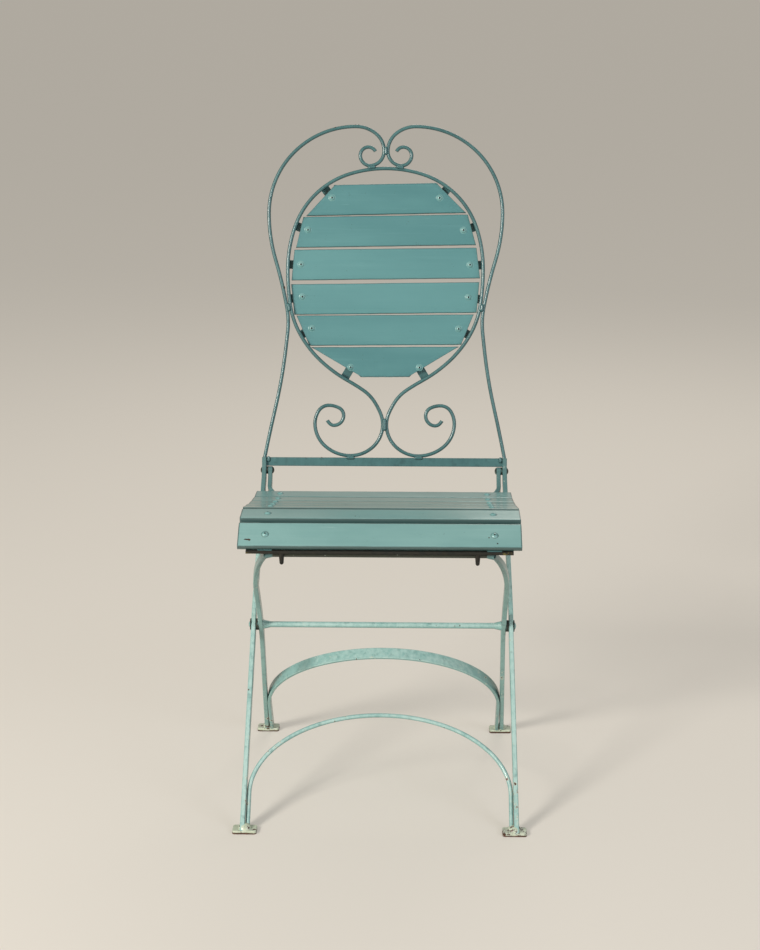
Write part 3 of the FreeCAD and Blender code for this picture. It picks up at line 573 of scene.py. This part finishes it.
class SlatTree:
    """Geometry nodes that turn one point per slat into worn boards with rounded edges."""

    LENGTH_CUTS = 96
    WIDTH_CUTS = 18
    THICK_CUTS = 7
    SEAM_REACH = 0.001
    ROUND_FROM = 0.2 * MM

    def __init__(self, name: str, material: bpy.types.Material, edge_radius: float, seed: int) -> None:
        """Build the tree.

        Args:
            name: The tree's name.
            material: The boards' finish.
            edge_radius: Radius of the boards' long edges, in metres.
            seed: Number that fixes the wear.
        """
        self.tree = bpy.data.node_groups.new(name, "GeometryNodeTree")
        face = self.tree.interface
        face.new_socket("Geometry", in_out="INPUT", socket_type="NodeSocketGeometry")
        self.sizes: Dict[str, Tuple[str, float]] = {}
        for title, value in (("Edge radius", edge_radius), ("Waviness", 0.25 * MM), ("Dents", 0.9 * MM),
                             ("Seed", float(seed))):
            socket = face.new_socket(title, in_out="INPUT", socket_type="NodeSocketFloat")
            self.sizes[title] = (socket.identifier, value)
        face.new_socket("Geometry", in_out="OUTPUT", socket_type="NodeSocketGeometry")
        self._wire(material)

    def _wire(self, material: bpy.types.Material) -> None:
        """Lay out the nodes.

        Args:
            material: The boards' finish.
        """
        book = NodeBook(self.tree)
        given = book.node("NodeGroupInput").socket.node
        flows = {socket.name: Flow(book, socket) for socket in given.outputs if socket.name}
        block = book.node("GeometryNodeMeshCube", inputs={
            "Size": (2.0, 2.0, 2.0), "Vertices X": self.LENGTH_CUTS, "Vertices Y": self.WIDTH_CUTS,
            "Vertices Z": self.THICK_CUTS})
        unit = book.node("GeometryNodeInputPosition")
        kept = self._store(book, block, "unit", "FLOAT_VECTOR", unit)
        merged = book.node("GeometryNodeMergeByDistance",
                           inputs={"Geometry": kept, "Distance": self.SEAM_REACH})
        placed = book.node("GeometryNodeInstanceOnPoints",
                           inputs={"Points": flows["Geometry"], "Instance": merged})
        boards = book.node("GeometryNodeRealizeInstances", inputs={"Geometry": placed})
        shaped = self._shape(book, boards, flows)
        smooth = book.node("GeometryNodeSetShadeSmooth", inputs={"Geometry": shaped})
        painted = book.node("GeometryNodeSetMaterial", inputs={"Geometry": smooth, "Material": material})
        book.node("NodeGroupOutput", inputs={0: painted})

    @staticmethod
    def _store(book: NodeBook, mesh: Flow, name: str, kind: str, value: Flow) -> Flow:
        """Keep a value on the points of a mesh under a name."""
        made = book.tree.nodes.new("GeometryNodeStoreNamedAttribute")
        made.data_type = kind
        made.domain = "POINT"
        book.feed(made.inputs["Geometry"], mesh)
        book.feed(made.inputs["Name"], name)
        book.feed(made.inputs["Value"], value)
        return Flow(book, made.outputs[0])

    @staticmethod
    def _read(book: NodeBook, name: str, kind: str) -> Flow:
        """Read a value that the points carry under a name."""
        return book.node("GeometryNodeInputNamedAttribute", {"data_type": kind}, {"Name": name})

    def _shape(self, book: NodeBook, boards: Flow, flows: Dict[str, Flow]) -> Flow:
        """Move the points of the unit blocks to the worn boards' surfaces.

        Args:
            book: The tree's book.
            boards: The realised unit blocks.
            flows: The tree's named inputs.

        Returns:
            The shaped boards.
        """
        unit = self._read(book, "unit", "FLOAT_VECTOR")
        half = self._read(book, "half", "FLOAT_VECTOR")
        taper = self._read(book, "taper", "FLOAT")
        ux, uy, uz = book.split(unit)
        hx, hy, hz = book.split(half)
        quarter = math.pi / 2
        sx, sy, sz = (book.math("SINE", axis * quarter) for axis in (ux, uy, uz))
        reach = hx * (1.0 + taper * sy)
        radius = flows["Edge radius"]
        py = sy * hy
        pz = sz * hz
        cy = book.math("MINIMUM", book.math("MAXIMUM", py, radius - hy), hy - radius)
        cz = book.math("MINIMUM", book.math("MAXIMUM", pz, radius - hz), hz - radius)
        dy, dz = py - cy, pz - cz
        size = book.math("MAXIMUM", book.math("SQRT", dy * dy + dz * dz), 1e-7)
        rounded = book.math("GREATER_THAN", size, self.ROUND_FROM)
        qy = cy + dy * (1.0 + rounded * (radius / size - 1.0))
        qz = cz + dz * (1.0 + rounded * (radius / size - 1.0))
        spot = book.combine(ux * 7.0, qy * 60.0, flows["Seed"] + self._read(book, "tone", "FLOAT") * 40.0)
        wave = book.node("ShaderNodeTexNoise", {"noise_dimensions": "3D"},
                         {"Vector": spot, "Scale": 1.0, "Detail": 2.0}, "Fac")
        edge = hy - book.math("ABSOLUTE", qy)
        nick_seed = flows["Seed"] + self._read(book, "tone", "FLOAT") * 70.0
        nick_at = book.combine(ux * hx * 260.0, uy * 2.0, nick_seed)
        nick = book.node("ShaderNodeTexNoise", {"noise_dimensions": "3D"},
                         {"Vector": nick_at, "Scale": 1.0, "Detail": 3.0, "Roughness": 0.6}, "Fac")
        dent = book.smooth(nick, 0.66, 0.80) * book.smooth(edge, 3.0 * MM, 0.4 * MM) * flows["Dents"]
        shrink = book.smooth(wave, 0.3, 0.7) * flows["Waviness"] + dent
        qy = qy - book.math("SIGN", qy) * shrink * book.smooth(edge, 4.0 * MM, 1.0 * MM)
        qz = qz - book.math("SIGN", qz) * shrink * 0.6
        end = reach - shrink * 0.8
        local = book.combine(sx * end, qy, qz)
        aim = self._read(book, "aim", "FLOAT_VECTOR")
        turned = book.node("ShaderNodeVectorRotate", {"rotation_type": "EULER_XYZ"},
                           {"Vector": local, "Rotation": aim})
        centre = self._read(book, "centre", "FLOAT_VECTOR")
        place = book.vector("ADD", turned, centre)
        with_edge = self._store(book, boards, "edge_mm", "FLOAT",
                                book.math("MINIMUM", edge, hx - book.math("ABSOLUTE", sx * hx)) * 1000.0)
        return book.node("GeometryNodeSetPosition", inputs={"Geometry": with_edge, "Position": place})

    def apply(self, piece: bpy.types.Object) -> bpy.types.Object:
        """Run the tree on an object and turn the result into a plain mesh.

        Args:
            piece: The object that holds one point per slat.

        Returns:
            The finished boards.
        """
        modifier = piece.modifiers.new("boards", "NODES")
        modifier.node_group = self.tree
        for identifier, value in self.sizes.values():
            modifier[identifier] = value
        return as_plain_mesh(piece)


def as_plain_mesh(piece: bpy.types.Object) -> bpy.types.Object:
    """Replace an object's mesh with what its modifiers make, and take the modifiers away.

    Args:
        piece: The object.

    Returns:
        The same object with a plain mesh.
    """
    bpy.context.view_layer.update()
    shown = piece.evaluated_get(bpy.context.evaluated_depsgraph_get())
    mesh = bpy.data.meshes.new_from_object(shown)
    piece.modifiers.clear()
    piece.data = mesh
    mesh.name = piece.name
    return piece


def new_piece(name: str, points: Sequence[Vector], faces: Sequence[Sequence[int]] = ()) -> bpy.types.Object:
    """Make a mesh object at the origin.

    Args:
        name: The object's name.
        points: Its points.
        faces: Its faces as lists of point numbers.

    Returns:
        The object.
    """
    mesh = bpy.data.meshes.new(name)
    mesh.from_pydata([tuple(point) for point in points], [], [tuple(face) for face in faces])
    piece = bpy.data.objects.new(name, mesh)
    bpy.context.scene.collection.objects.link(piece)
    return piece


@dataclass
class SlatSet:
    """A row of boards that takes the place of the plain slats."""

    name: str
    nodes: List[str]
    body: Body
    paint: BoardPaint
    up_hint: Vector
    out_hint: Vector
    edge_radius: float
    seed: int
    tones: Sequence[float] = field(default_factory=list)

    def build(self) -> bpy.types.Object:
        """Measure the solids and make the boards in their place.

        Returns:
            The boards as one piece.
        """
        boards = [Board.from_node(node, self.up_hint, self.out_hint) for node in self.nodes]
        piece = new_piece(self.name, [board.centre for board in boards])
        carry(piece.data, "half", "FLOAT_VECTOR", [
            ((board.half_low + board.half_top) / 2, board.half_width, board.half_thick) for board in boards])
        carry(piece.data, "taper", "FLOAT", [
            (board.half_top - board.half_low) / (board.half_top + board.half_low) for board in boards])
        carry(piece.data, "aim", "FLOAT_VECTOR", [
            Matrix((board.along, board.across, board.out)).transposed().to_euler("XYZ") for board in boards])
        carry(piece.data, "centre", "FLOAT_VECTOR", [board.centre for board in boards])
        tones = self.tones or [(k * 0.382) % 1.0 for k in range(len(boards))]
        carry(piece.data, "tone", "FLOAT", tones)
        material = self.paint.make()
        made = SlatTree(self.name + "_tree", material, self.edge_radius, self.seed).apply(piece)
        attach(made, self.body.value)
        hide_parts(*self.nodes)
        LOG.info("built %s: %d boards, %d faces", made.name, len(boards), len(made.data.polygons))
        return made


@dataclass(frozen=True)
class Stamp:
    """One small lump or scar: where it sits, which way it faces, its half sizes and its turn."""

    place: Vector
    facing: Vector
    half: Tuple[float, float, float]
    turn: float = 0.0

    def aim(self) -> Tuple[float, float, float]:
        """Euler angles that lay the lump on its surface.

        Returns:
            The angles in radians.
        """
        upright = self.facing.to_track_quat("Z", "X").to_matrix()
        return tuple((upright @ Matrix.Rotation(math.radians(self.turn), 3, "Z")).to_euler("XYZ"))


@dataclass
class StampSet:
    """Small lumps of one finish on one body, set on points by geometry nodes."""

    SEGMENTS: ClassVar[int] = 24
    RINGS: ClassVar[int] = 12

    name: str
    body: Body
    slot: Slot
    material: bpy.types.Material
    stamps: List[Stamp]
    ragged: float = 0.15
    seed: int = 5

    def build(self) -> bpy.types.Object:
        """Make the lumps as one piece.

        Returns:
            The piece.
        """
        piece = new_piece(self.name, [stamp.place for stamp in self.stamps])
        carry(piece.data, "aim", "FLOAT_VECTOR", [stamp.aim() for stamp in self.stamps])
        carry(piece.data, "half", "FLOAT_VECTOR", [stamp.half for stamp in self.stamps])
        modifier = piece.modifiers.new("lumps", "NODES")
        modifier.node_group = self._tree()
        made = as_plain_mesh(piece)
        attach(made, self.body.value)
        LOG.info("built %s: %d lumps, %d faces", self.name, len(self.stamps), len(made.data.polygons))
        return made

    def _tree(self) -> bpy.types.NodeTree:
        """Write the geometry nodes.

        Returns:
            The tree.
        """
        tree = bpy.data.node_groups.new(self.name + "_tree", "GeometryNodeTree")
        tree.interface.new_socket("Geometry", in_out="INPUT", socket_type="NodeSocketGeometry")
        tree.interface.new_socket("Geometry", in_out="OUTPUT", socket_type="NodeSocketGeometry")
        book = NodeBook(tree)
        points = book.node("NodeGroupInput")
        ball = book.node("GeometryNodeMeshUVSphere", inputs={"Segments": self.SEGMENTS, "Rings": self.RINGS,
                                                             "Radius": 1.0})
        spot = book.node("GeometryNodeInputPosition")
        rough = book.node("ShaderNodeTexNoise", {"noise_dimensions": "4D"},
                          {"Vector": spot, "W": float(self.seed), "Scale": 2.2, "Detail": 2.0}, "Fac")
        offset = book.vector("SCALE", spot, scale=(rough - 0.5) * 2.0 * self.ragged)
        lump = book.node("GeometryNodeSetPosition", inputs={"Geometry": ball, "Offset": offset})
        aim = book.node("GeometryNodeInputNamedAttribute", {"data_type": "FLOAT_VECTOR"}, {"Name": "aim"})
        half = book.node("GeometryNodeInputNamedAttribute", {"data_type": "FLOAT_VECTOR"}, {"Name": "half"})
        placed = book.node("GeometryNodeInstanceOnPoints", inputs={
            "Points": points, "Instance": lump, "Rotation": aim, "Scale": half})
        real = book.node("GeometryNodeRealizeInstances", inputs={"Geometry": placed})
        smooth = book.node("GeometryNodeSetShadeSmooth", inputs={"Geometry": real})
        painted = book.node("GeometryNodeSetMaterial", inputs={"Geometry": smooth, "Material": self.material})
        book.node("NodeGroupOutput", inputs={0: painted})
        return tree


def carry(mesh: bpy.types.Mesh, name: str, kind: str, values: Sequence) -> None:
    """Put one value per point on a mesh.

    Args:
        mesh: The mesh.
        name: The value's name.
        kind: FLOAT or FLOAT_VECTOR.
        values: One value for each point.
    """
    made = mesh.attributes.new(name, kind, "POINT")
    for item, value in zip(made.data, values):
        if kind == "FLOAT":
            item.value = value
        else:
            item.vector = tuple(value)


def lumps_of(node: str) -> List[np.ndarray]:
    """Split a node's mesh into its separate solids.

    Args:
        node: The node's name.

    Returns:
        The points of each solid.
    """
    mesh = frame["nodes"][node].data
    points = np.array([v.co for v in mesh.vertices], float)
    unique, index = np.unique(np.round(points, 6), axis=0, return_inverse=True)
    index = index.reshape(-1)
    parent = list(range(len(unique)))

    def root(item: int) -> int:
        """Follow a point to its group's first point."""
        while parent[item] != item:
            parent[item] = parent[parent[item]]
            item = parent[item]
        return item

    for face in mesh.polygons:
        corners = [root(index[k]) for k in face.vertices]
        for corner in corners[1:]:
            parent[root(corner)] = root(corners[0])
    groups: Dict[int, List[int]] = {}
    for item in range(len(unique)):
        groups.setdefault(root(item), []).append(item)
    return [unique[members] for members in groups.values()]


SURFACES: Dict[str, BVHTree] = {}


def on_surface(node: str, near_mm: Tuple[float, float, float]) -> Tuple[Vector, Vector]:
    """Find the nearest place on a piece's surface.

    Args:
        node: The piece's name.
        near_mm: A place close to it, in millimetres.

    Returns:
        The place and the surface's normal there.
    """
    piece = frame["nodes"].get(node) or bpy.data.objects[node]
    if node not in SURFACES:
        corners = [point.co for point in piece.data.vertices]
        SURFACES[node] = BVHTree.FromPolygons(corners, [tuple(face.vertices) for face in piece.data.polygons])
    place, normal, _, _ = SURFACES[node].find_nearest(Vector(near_mm) * MM)
    return place, normal


def crumbs(node: str, count: int, seed: int) -> List[Stamp]:
    """Scatter small lumps of spatter over a weld.

    Args:
        node: The weld's name.
        count: How many lumps there are.
        seed: Number that fixes their places.

    Returns:
        The lumps.
    """
    draw = np.random.default_rng(seed)
    faces = frame["nodes"][node].data.polygons
    areas = np.array([face.area for face in faces])
    picked = draw.choice(len(faces), count, p=areas / areas.sum())
    stamps = []
    for number in picked:
        face = faces[int(number)]
        size = draw.uniform(0.7, 1.9) * MM
        if face.normal.z > 0.1:
            stamps.append(Stamp(face.center.copy(), face.normal.copy(),
                                (size, size * draw.uniform(0.6, 1.0), size * 0.5), draw.uniform(0, 180)))
    return stamps


@dataclass
class BoltTrim:
    """Collars of paint round the bolt heads, and dark discs in their dimples that paint the shade in these
    hollows.
    """

    HEAD_RADIUS: ClassVar[float] = 5.0 * MM
    HEAD_HEIGHT: ClassVar[float] = 2.6 * MM
    DIMPLE_RADIUS: ClassVar[float] = 1.5 * MM
    DIMPLE_DEPTH: ClassVar[float] = 1.0 * MM
    COLLAR_REACH: ClassVar[float] = 0.9 * MM
    COLLAR_HEIGHT: ClassVar[float] = 0.55 * MM
    PIT_HEIGHT: ClassVar[float] = 0.9 * MM

    name: str
    node: str
    body: Body
    collar: bpy.types.Material
    pit: bpy.types.Material

    def build(self) -> None:
        """Make both sets of lumps."""
        collars, pits = [], []
        for points in lumps_of(self.node):
            top, axis = self._head(points)
            base = top - axis * self.HEAD_HEIGHT
            reach = self.HEAD_RADIUS + self.COLLAR_REACH
            collars.append(Stamp(base, axis, (reach, reach * 0.96, self.COLLAR_HEIGHT), 40.0 * len(collars)))
            floor = top - axis * self.DIMPLE_DEPTH
            pits.append(Stamp(floor, axis, (self.DIMPLE_RADIUS, self.DIMPLE_RADIUS, self.PIT_HEIGHT)))
        StampSet(self.name + "_collars", self.body, Slot.BOLT_IRON, self.collar, collars, 0.10, 3).build()
        StampSet(self.name + "_pits", self.body, Slot.BOLT_IRON, self.pit, pits, 0.05, 4).build()

    def _head(self, points: np.ndarray) -> Tuple[Vector, Vector]:
        """Find the crown of a bolt's head and the direction that it faces.

        Args:
            points: The bolt's points.

        Returns:
            The crown's centre and the direction.
        """
        middle = (points.min(0) + points.max(0)) / 2
        axis = np.linalg.eigh(np.cov((points - points.mean(0)).T))[1][:, 2]
        along = (points - middle) @ axis
        aside = points - middle - np.outer(along, axis)
        if along[np.linalg.norm(aside, axis=1) > 0.6 * self.HEAD_RADIUS].mean() < 0:
            axis, along = -axis, -along
        head = points[along > along.max() - 0.5 * self.HEAD_HEIGHT]
        centre = head.mean(0)
        centre = centre + axis * (along.max() - (centre - middle) @ axis)
        return Vector(centre), Vector(axis)


@dataclass(frozen=True)
class Mark:
    """One scar or spot on a piece: near which place, its half sizes in millimetres and its turn."""

    node: str
    near: Tuple[float, float, float]
    half: Tuple[float, float]
    turn: float = 0.0
    HEIGHT: ClassVar[float] = 0.22 * MM

    def stamp(self) -> Stamp:
        """Lay the mark on the piece's surface.

        Returns:
            The lump to build.
        """
        place, normal = on_surface(self.node, self.near)
        return Stamp(place, normal, (self.half[0] * MM, self.half[1] * MM, self.HEIGHT), self.turn)


@dataclass
class IronWork:
    """The painted iron: back, legs, rails, feet and rivets, and a near-black copy of the paint that paints
    the shade on the cross rod under the seat.
    """

    # Pieces that are given the painted-shade finish in place of their slot's.
    SHADED: ClassVar[Tuple[str, ...]] = ("seat_cross_rod",)

    back: IronPaint
    legs: IronPaint
    feet: IronPaint
    worn: BareIron
    rivets: BareIron
    bolts: IronPaint
    shaded: IronPaint

    def dress(self) -> Dict[str, bpy.types.Material]:
        """Give each iron piece the finish of its slot, and the pieces in SHADED the finish of painted shade.

        Returns:
            The finishes by slot.
        """
        finishes = {kind.slot.value: kind.make() for kind in
                    (self.back, self.legs, self.feet, self.worn, self.rivets, self.bolts)}
        for entry in frame["record"]["subparts"]:
            finish = finishes.get(entry["material_slot"])
            if finish is not None:
                paint_node(entry["node"], finish)
        # Painted shade: the cross rod under the seat gets a near-black copy of the leg paint.
        painted_shade = self.shaded.make()
        for node in self.SHADED:
            paint_node(node, painted_shade)
        return finishes


@dataclass
class Studio:
    """Floor, lamps, world and camera."""

    floor_colour: Colour = srgb(226, 221, 212)
    world_colour: Colour = srgb(236, 230, 220)
    world_strength: float = 0.46
    focal_px: float = 1800.0
    frame_px: float = 950.0
    camera_right: float = 51.8 * MM
    camera_forward_of_feet: float = 2.430
    feet_forward_of_middle: float = 0.25961
    camera_height: float = 1.220
    pitch_down: float = 15.38
    yaw_left: float = 1.197
    floor_half: float = 300.0
    glow: float = 0.9
    glow_share: float = 0.35

    def build(self) -> None:
        """Set up everything that isn't the chair."""
        self._floor()
        self._world()
        self._lamp("key_lamp", (-2.7, -3.0, 2.3), 1.0, 165.0, srgb(255, 250, 242))
        self._lamp("fill_lamp", (2.6, -2.4, 1.8), 1.8, 34.0, srgb(236, 242, 255))
        self._lamp("rear_lamp", (0.6, 2.4, 2.6), 1.6, 22.0, srgb(255, 248, 240))
        self._camera()
        bpy.context.scene.view_settings.view_transform = "Standard"

    def _floor(self) -> None:
        """A wide pale floor."""
        side = self.floor_half
        outline = ((-side, -side), (side, -side), (side, side), (-side, side))
        corners = [Vector((x, y, 0.0)) for x, y in outline]
        floor = new_piece("studio_floor", corners, [(0, 1, 2, 3)])
        book = PaintBook("floor_finish")
        shader = book.node("ShaderNodeBsdfDiffuse", inputs={"Color": self.floor_colour})
        glow = book.node("ShaderNodeEmission", inputs={"Color": self.floor_colour, "Strength": self.glow})
        ray = book.node("ShaderNodeLightPath", output="Is Camera Ray")
        both = book.node("ShaderNodeMixShader", inputs={0: ray * self.glow_share, 1: shader, 2: glow})
        book.node("ShaderNodeOutputMaterial", inputs={"Surface": both})
        floor.data.materials.append(book.material)

    def _world(self) -> None:
        """Even light from all round."""
        world = bpy.data.worlds.new("studio_world")
        bpy.context.scene.world = world
        world.use_nodes = True
        book = NodeBook(world.node_tree)
        book.tree.nodes.clear()
        sky = book.node("ShaderNodeBackground",
                        inputs={"Color": self.world_colour, "Strength": self.world_strength})
        book.node("ShaderNodeOutputWorld", inputs={"Surface": sky})

    def _lamp(self, name: str, place: Tuple[float, float, float], size: float, power: float,
              colour: Colour) -> None:
        """Add a soft square lamp that faces the chair.

        Args:
            name: The lamp's name.
            place: Where it stands.
            size: Side of its face.
            power: Power in watts.
            colour: Its colour.
        """
        light = bpy.data.lights.new(name, "AREA")
        light.size = size
        light.energy = power
        light.color = colour
        lamp = bpy.data.objects.new(name, light)
        lamp.location = place
        lamp.rotation_euler = (Vector((0.0, 0.0, 0.5)) - Vector(place)).to_track_quat("-Z", "Y").to_euler()
        bpy.context.scene.collection.objects.link(lamp)

    def _camera(self) -> None:
        """Stand the camera where the photograph was taken from."""
        data = bpy.data.cameras.new("studio_camera")
        data.sensor_fit = "AUTO"
        data.sensor_width = 36.0
        data.lens = self.focal_px / self.frame_px * data.sensor_width
        camera = bpy.data.objects.new("studio_camera", data)
        camera.location = (self.camera_right, -self.camera_forward_of_feet - self.feet_forward_of_middle,
                           self.camera_height)
        camera.rotation_euler = (math.radians(90.0 - self.pitch_down), 0.0, math.radians(self.yaw_left))
        bpy.context.scene.collection.objects.link(camera)
        bpy.context.scene.camera = camera


FEET_Y = -Studio.feet_forward_of_middle / MM
SEAT_SCARS = [
    Mark("seat_boards", (-189.5, FEET_Y + 16.5, 452.3), (4.2, 1.3), 84.0),
    Mark("seat_boards", (-186.5, FEET_Y + 16.2, 452.1), (2.4, 1.7), 70.0),
    Mark("seat_boards", (156.0, FEET_Y + 21.5, 455.3), (1.0, 0.9)),
    Mark("seat_boards", (168.0, FEET_Y + 13.5, 448.3), (1.2, 1.0)),
    Mark("seat_boards", (92.0, FEET_Y + 26.0, 460.0), (0.5, 0.5)),
    Mark("seat_boards", (-36.0, FEET_Y + 66.0, 474.0), (1.6, 0.5), 30.0),
    Mark("seat_boards", (-30.0, FEET_Y + 62.0, 474.0), (0.7, 0.5)),
    Mark("seat_boards", (62.0, FEET_Y + 78.0, 474.0), (0.6, 0.5)),
    Mark("seat_boards", (-54.0, FEET_Y + 168.0, 456.0), (0.9, 0.6)),
    Mark("seat_boards", (44.0, FEET_Y + 212.0, 446.0), (1.1, 0.6), 60.0),
]
BACK_RUST = [
    Mark("back_cross_bar", (-102.0, FEET_Y + 392.0, 476.0), (1.9, 1.1)),
    Mark("back_cross_bar", (66.0, FEET_Y + 392.0, 476.0), (0.9, 0.6)),
    Mark("heart_rod_left", (-157.0, FEET_Y + 456.0, 742.0), (2.6, 2.4)),
    Mark("heart_rod_left", (-44.0, FEET_Y + 520.0, 1006.0), (1.8, 1.1)),
    Mark("heart_rod_left", (-50.0, FEET_Y + 520.0, 1006.0), (1.2, 0.9)),
    Mark("heart_rod_left", (-84.0, FEET_Y + 518.0, 998.0), (2.0, 0.9)),
    Mark("front_leg_left", (-203.0, FEET_Y + 136.0, 172.0), (1.2, 1.0)),
    Mark("front_leg_right", (203.0, FEET_Y + 92.0, 112.0), (0.9, 2.0)),
    Mark("front_leg_right", (203.0, FEET_Y + 84.0, 102.0), (0.7, 1.2)),
    Mark("front_leg_right", (203.0, FEET_Y + 66.0, 82.0), (0.7, 1.6)),
    Mark("front_foot_left", (-205.0, FEET_Y - 5.0, 6.0), (2.0, 1.4)),
    Mark("front_foot_right", (206.0, FEET_Y - 5.0, 6.0), (1.4, 1.8)),
    Mark("front_arch", (-70.0, FEET_Y + 110.0, 132.0), (1.3, 0.7)),
    Mark("front_arch", (96.0, FEET_Y + 104.0, 124.0), (1.0, 0.6)),
]
LEG_RUST = [
    Mark("pivot_rod", (121.0, FEET_Y + 208.0, 252.0), (1.0, 0.9)),
    Mark("pivot_rod", (113.0, FEET_Y + 208.0, 251.0), (0.7, 0.8)),
    Mark("pivot_rod", (84.0, FEET_Y + 208.0, 252.0), (0.5, 0.6)),
    Mark("rear_arch", (-42.0, FEET_Y + 250.0, 178.0), (2.4, 0.7)),
    Mark("rear_arch", (60.0, FEET_Y + 250.0, 178.0), (1.5, 0.6)),
    Mark("rear_foot_left", (-196.0, FEET_Y + 374.0, 5.0), (2.0, 1.2)),
    Mark("rear_foot_right", (196.0, FEET_Y + 374.0, 5.0), (1.6, 1.2)),
]


def lay_boards() -> None:
    """Make the worn boards of the seat and the back in place of the plain slats."""
    # Both sets of boards get painted shade along their sides and edges, stronger and wider on the seat.
    seat = SlatSet(
        "seat_boards", ["seat_slat_%d" % k for k in range(1, 8)], Body.SEAT,
        BoardPaint("seat_paint", Slot.SEAT_WOOD, srgb(126, 168, 166), srgb(150, 186, 183),
                   srgb(110, 154, 153), gloss=0.22, coat=0.7, wear=0.2, edge_shade=0.85, shade_reach=2.3),
        Vector((0, 1, 0.2)), Vector((0, -0.2, 1)), 2.5 * MM, 11)
    back = SlatSet(
        "back_boards", ["back_slat_%d" % k for k in range(1, 7)], Body.BACK,
        BoardPaint("back_paint", Slot.BACK_WOOD, srgb(82, 134, 137), srgb(102, 154, 156), srgb(72, 124, 128),
                   wear=0.1, edge_shade=0.6),
        Vector((0, 0.25, 1)), Vector((0, -1, 0.25)), 2.0 * MM, 23, tones=[0.05, 0.4, 0.7, 0.9, 0.5, 0.0])
    seat.build()
    back.build()


def paint_iron() -> Dict[str, bpy.types.Material]:
    """Paint the iron of the back, the legs, the rails, the feet and the bolts.

    Returns:
        The finishes by slot.
    """
    iron = IronWork(
        # The back's iron is painted darker and the legs' paler than the one paint that they share: painted
        # shade on the thin rods of the back, painted light on the legs.
        back=IronPaint("back_iron_paint", Slot.BACK_IRON, srgb(50, 91, 94), srgb(74, 119, 120),
                       srgb(28, 59, 62), chips=0.0, highlight_streaks=0.3),
        # The legs' upper colour paints the shade under the seat.
        legs=IronPaint("leg_iron_paint", Slot.LEG_IRON, srgb(134, 176, 172), srgb(180, 208, 203),
                       srgb(66, 104, 102), upper=srgb(66, 107, 108), chips=0.31, low_wear=0.2),
        feet=IronPaint("foot_iron_paint", Slot.FOOT_IRON, srgb(182, 194, 172), srgb(208, 214, 194),
                       srgb(120, 132, 110), chips=0.74, low_wear=0.15, gloss=0.4, sole=0.0028),
        # The front strip and the pegs are darker than bare iron: partly their own dark rust, partly painted
        # shade under the seat.
        worn=BareIron("worn_strip", Slot.WORN_IRON, srgb(14, 16, 8), srgb(24, 20, 8), srgb(92, 82, 34),
                      trace_share=0.14, roughness=0.6, shine=0.15),
        rivets=BareIron("rivet_metal", Slot.RIVET_IRON, srgb(36, 44, 40), srgb(48, 50, 40), srgb(60, 96, 94)),
        bolts=IronPaint("bolt_paint", Slot.BOLT_IRON, srgb(98, 148, 148), srgb(128, 172, 170),
                        srgb(76, 122, 122), chips=0.0),
        # Near-black painted shade for the cross rod under the seat.
        shaded=IronPaint("shaded_iron_paint", Slot.LEG_IRON, srgb(30, 40, 26), srgb(48, 58, 38),
                         srgb(14, 18, 8), chips=0.3))
    return iron.dress()


def trim_bolts(bolt_paint: bpy.types.Material) -> None:
    """Set collars of paint on the slat bolts and dark discs in their dimples, painted shade in the hollows;
    the seat collars are darker, painted shade round the heads.

    Args:
        bolt_paint: The finish of the bolts.
    """
    # Painted shade: near-black discs in the bolts' dimples.
    pit = BareIron("pit_grime", Slot.BOLT_IRON, srgb(14, 22, 22), srgb(26, 30, 24), srgb(20, 34, 34)).make()
    BoltTrim("back_bolt", "back_slat_bolts", Body.BACK, bolt_paint, pit).build()
    # Painted shade: the seat bolts' collars are darker than the bolt paint.
    ring = IronPaint("seat_collar_grime", Slot.BOLT_IRON, srgb(58, 88, 84), srgb(84, 114, 108),
                     srgb(34, 52, 48), chips=0.0).make()
    BoltTrim("seat_bolt", "seat_bolts", Body.SEAT, ring, pit).build()


def add_wear(foot_paint: bpy.types.Material) -> None:
    """Add scars, rust spots and the crumbs of weld on the feet.

    Args:
        foot_paint: The finish of the feet.
    """
    scar = BareIron("scar_grime", Slot.SEAT_WOOD, srgb(30, 30, 24), srgb(70, 48, 30), srgb(24, 30, 28)).make()
    rust = BareIron("rust_spot", Slot.BACK_IRON, srgb(60, 40, 26), srgb(116, 70, 36), srgb(34, 26, 20)).make()
    for name, body, slot, material, marks in (
            ("seat_scars", Body.SEAT, Slot.SEAT_WOOD, scar, SEAT_SCARS),
            ("back_rust_spots", Body.BACK, Slot.BACK_IRON, rust, BACK_RUST),
            ("leg_rust_spots", Body.REAR, Slot.LEG_IRON, rust, LEG_RUST)):
        StampSet(name, body, slot, material, [mark.stamp() for mark in marks], 0.4, 9).build()
    for name, body, node in (("front_foot_crumbs", Body.BACK, "front_foot_welds"),
                             ("rear_foot_crumbs", Body.REAR, "rear_foot_welds")):
        StampSet(name, body, Slot.FOOT_IRON, foot_paint, crumbs(node, 60, 17), 0.3, 7).build()


def main() -> None:
    """Build the chair's finish and the studio."""
    logging.basicConfig(level=logging.INFO, format="%(name)s: %(message)s")
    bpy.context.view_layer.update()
    lay_boards()
    finishes = paint_iron()
    trim_bolts(finishes[Slot.BOLT_IRON.value])
    add_wear(finishes[Slot.FOOT_IRON.value])
    Studio().build()


if __name__ == "__main__":
    main()
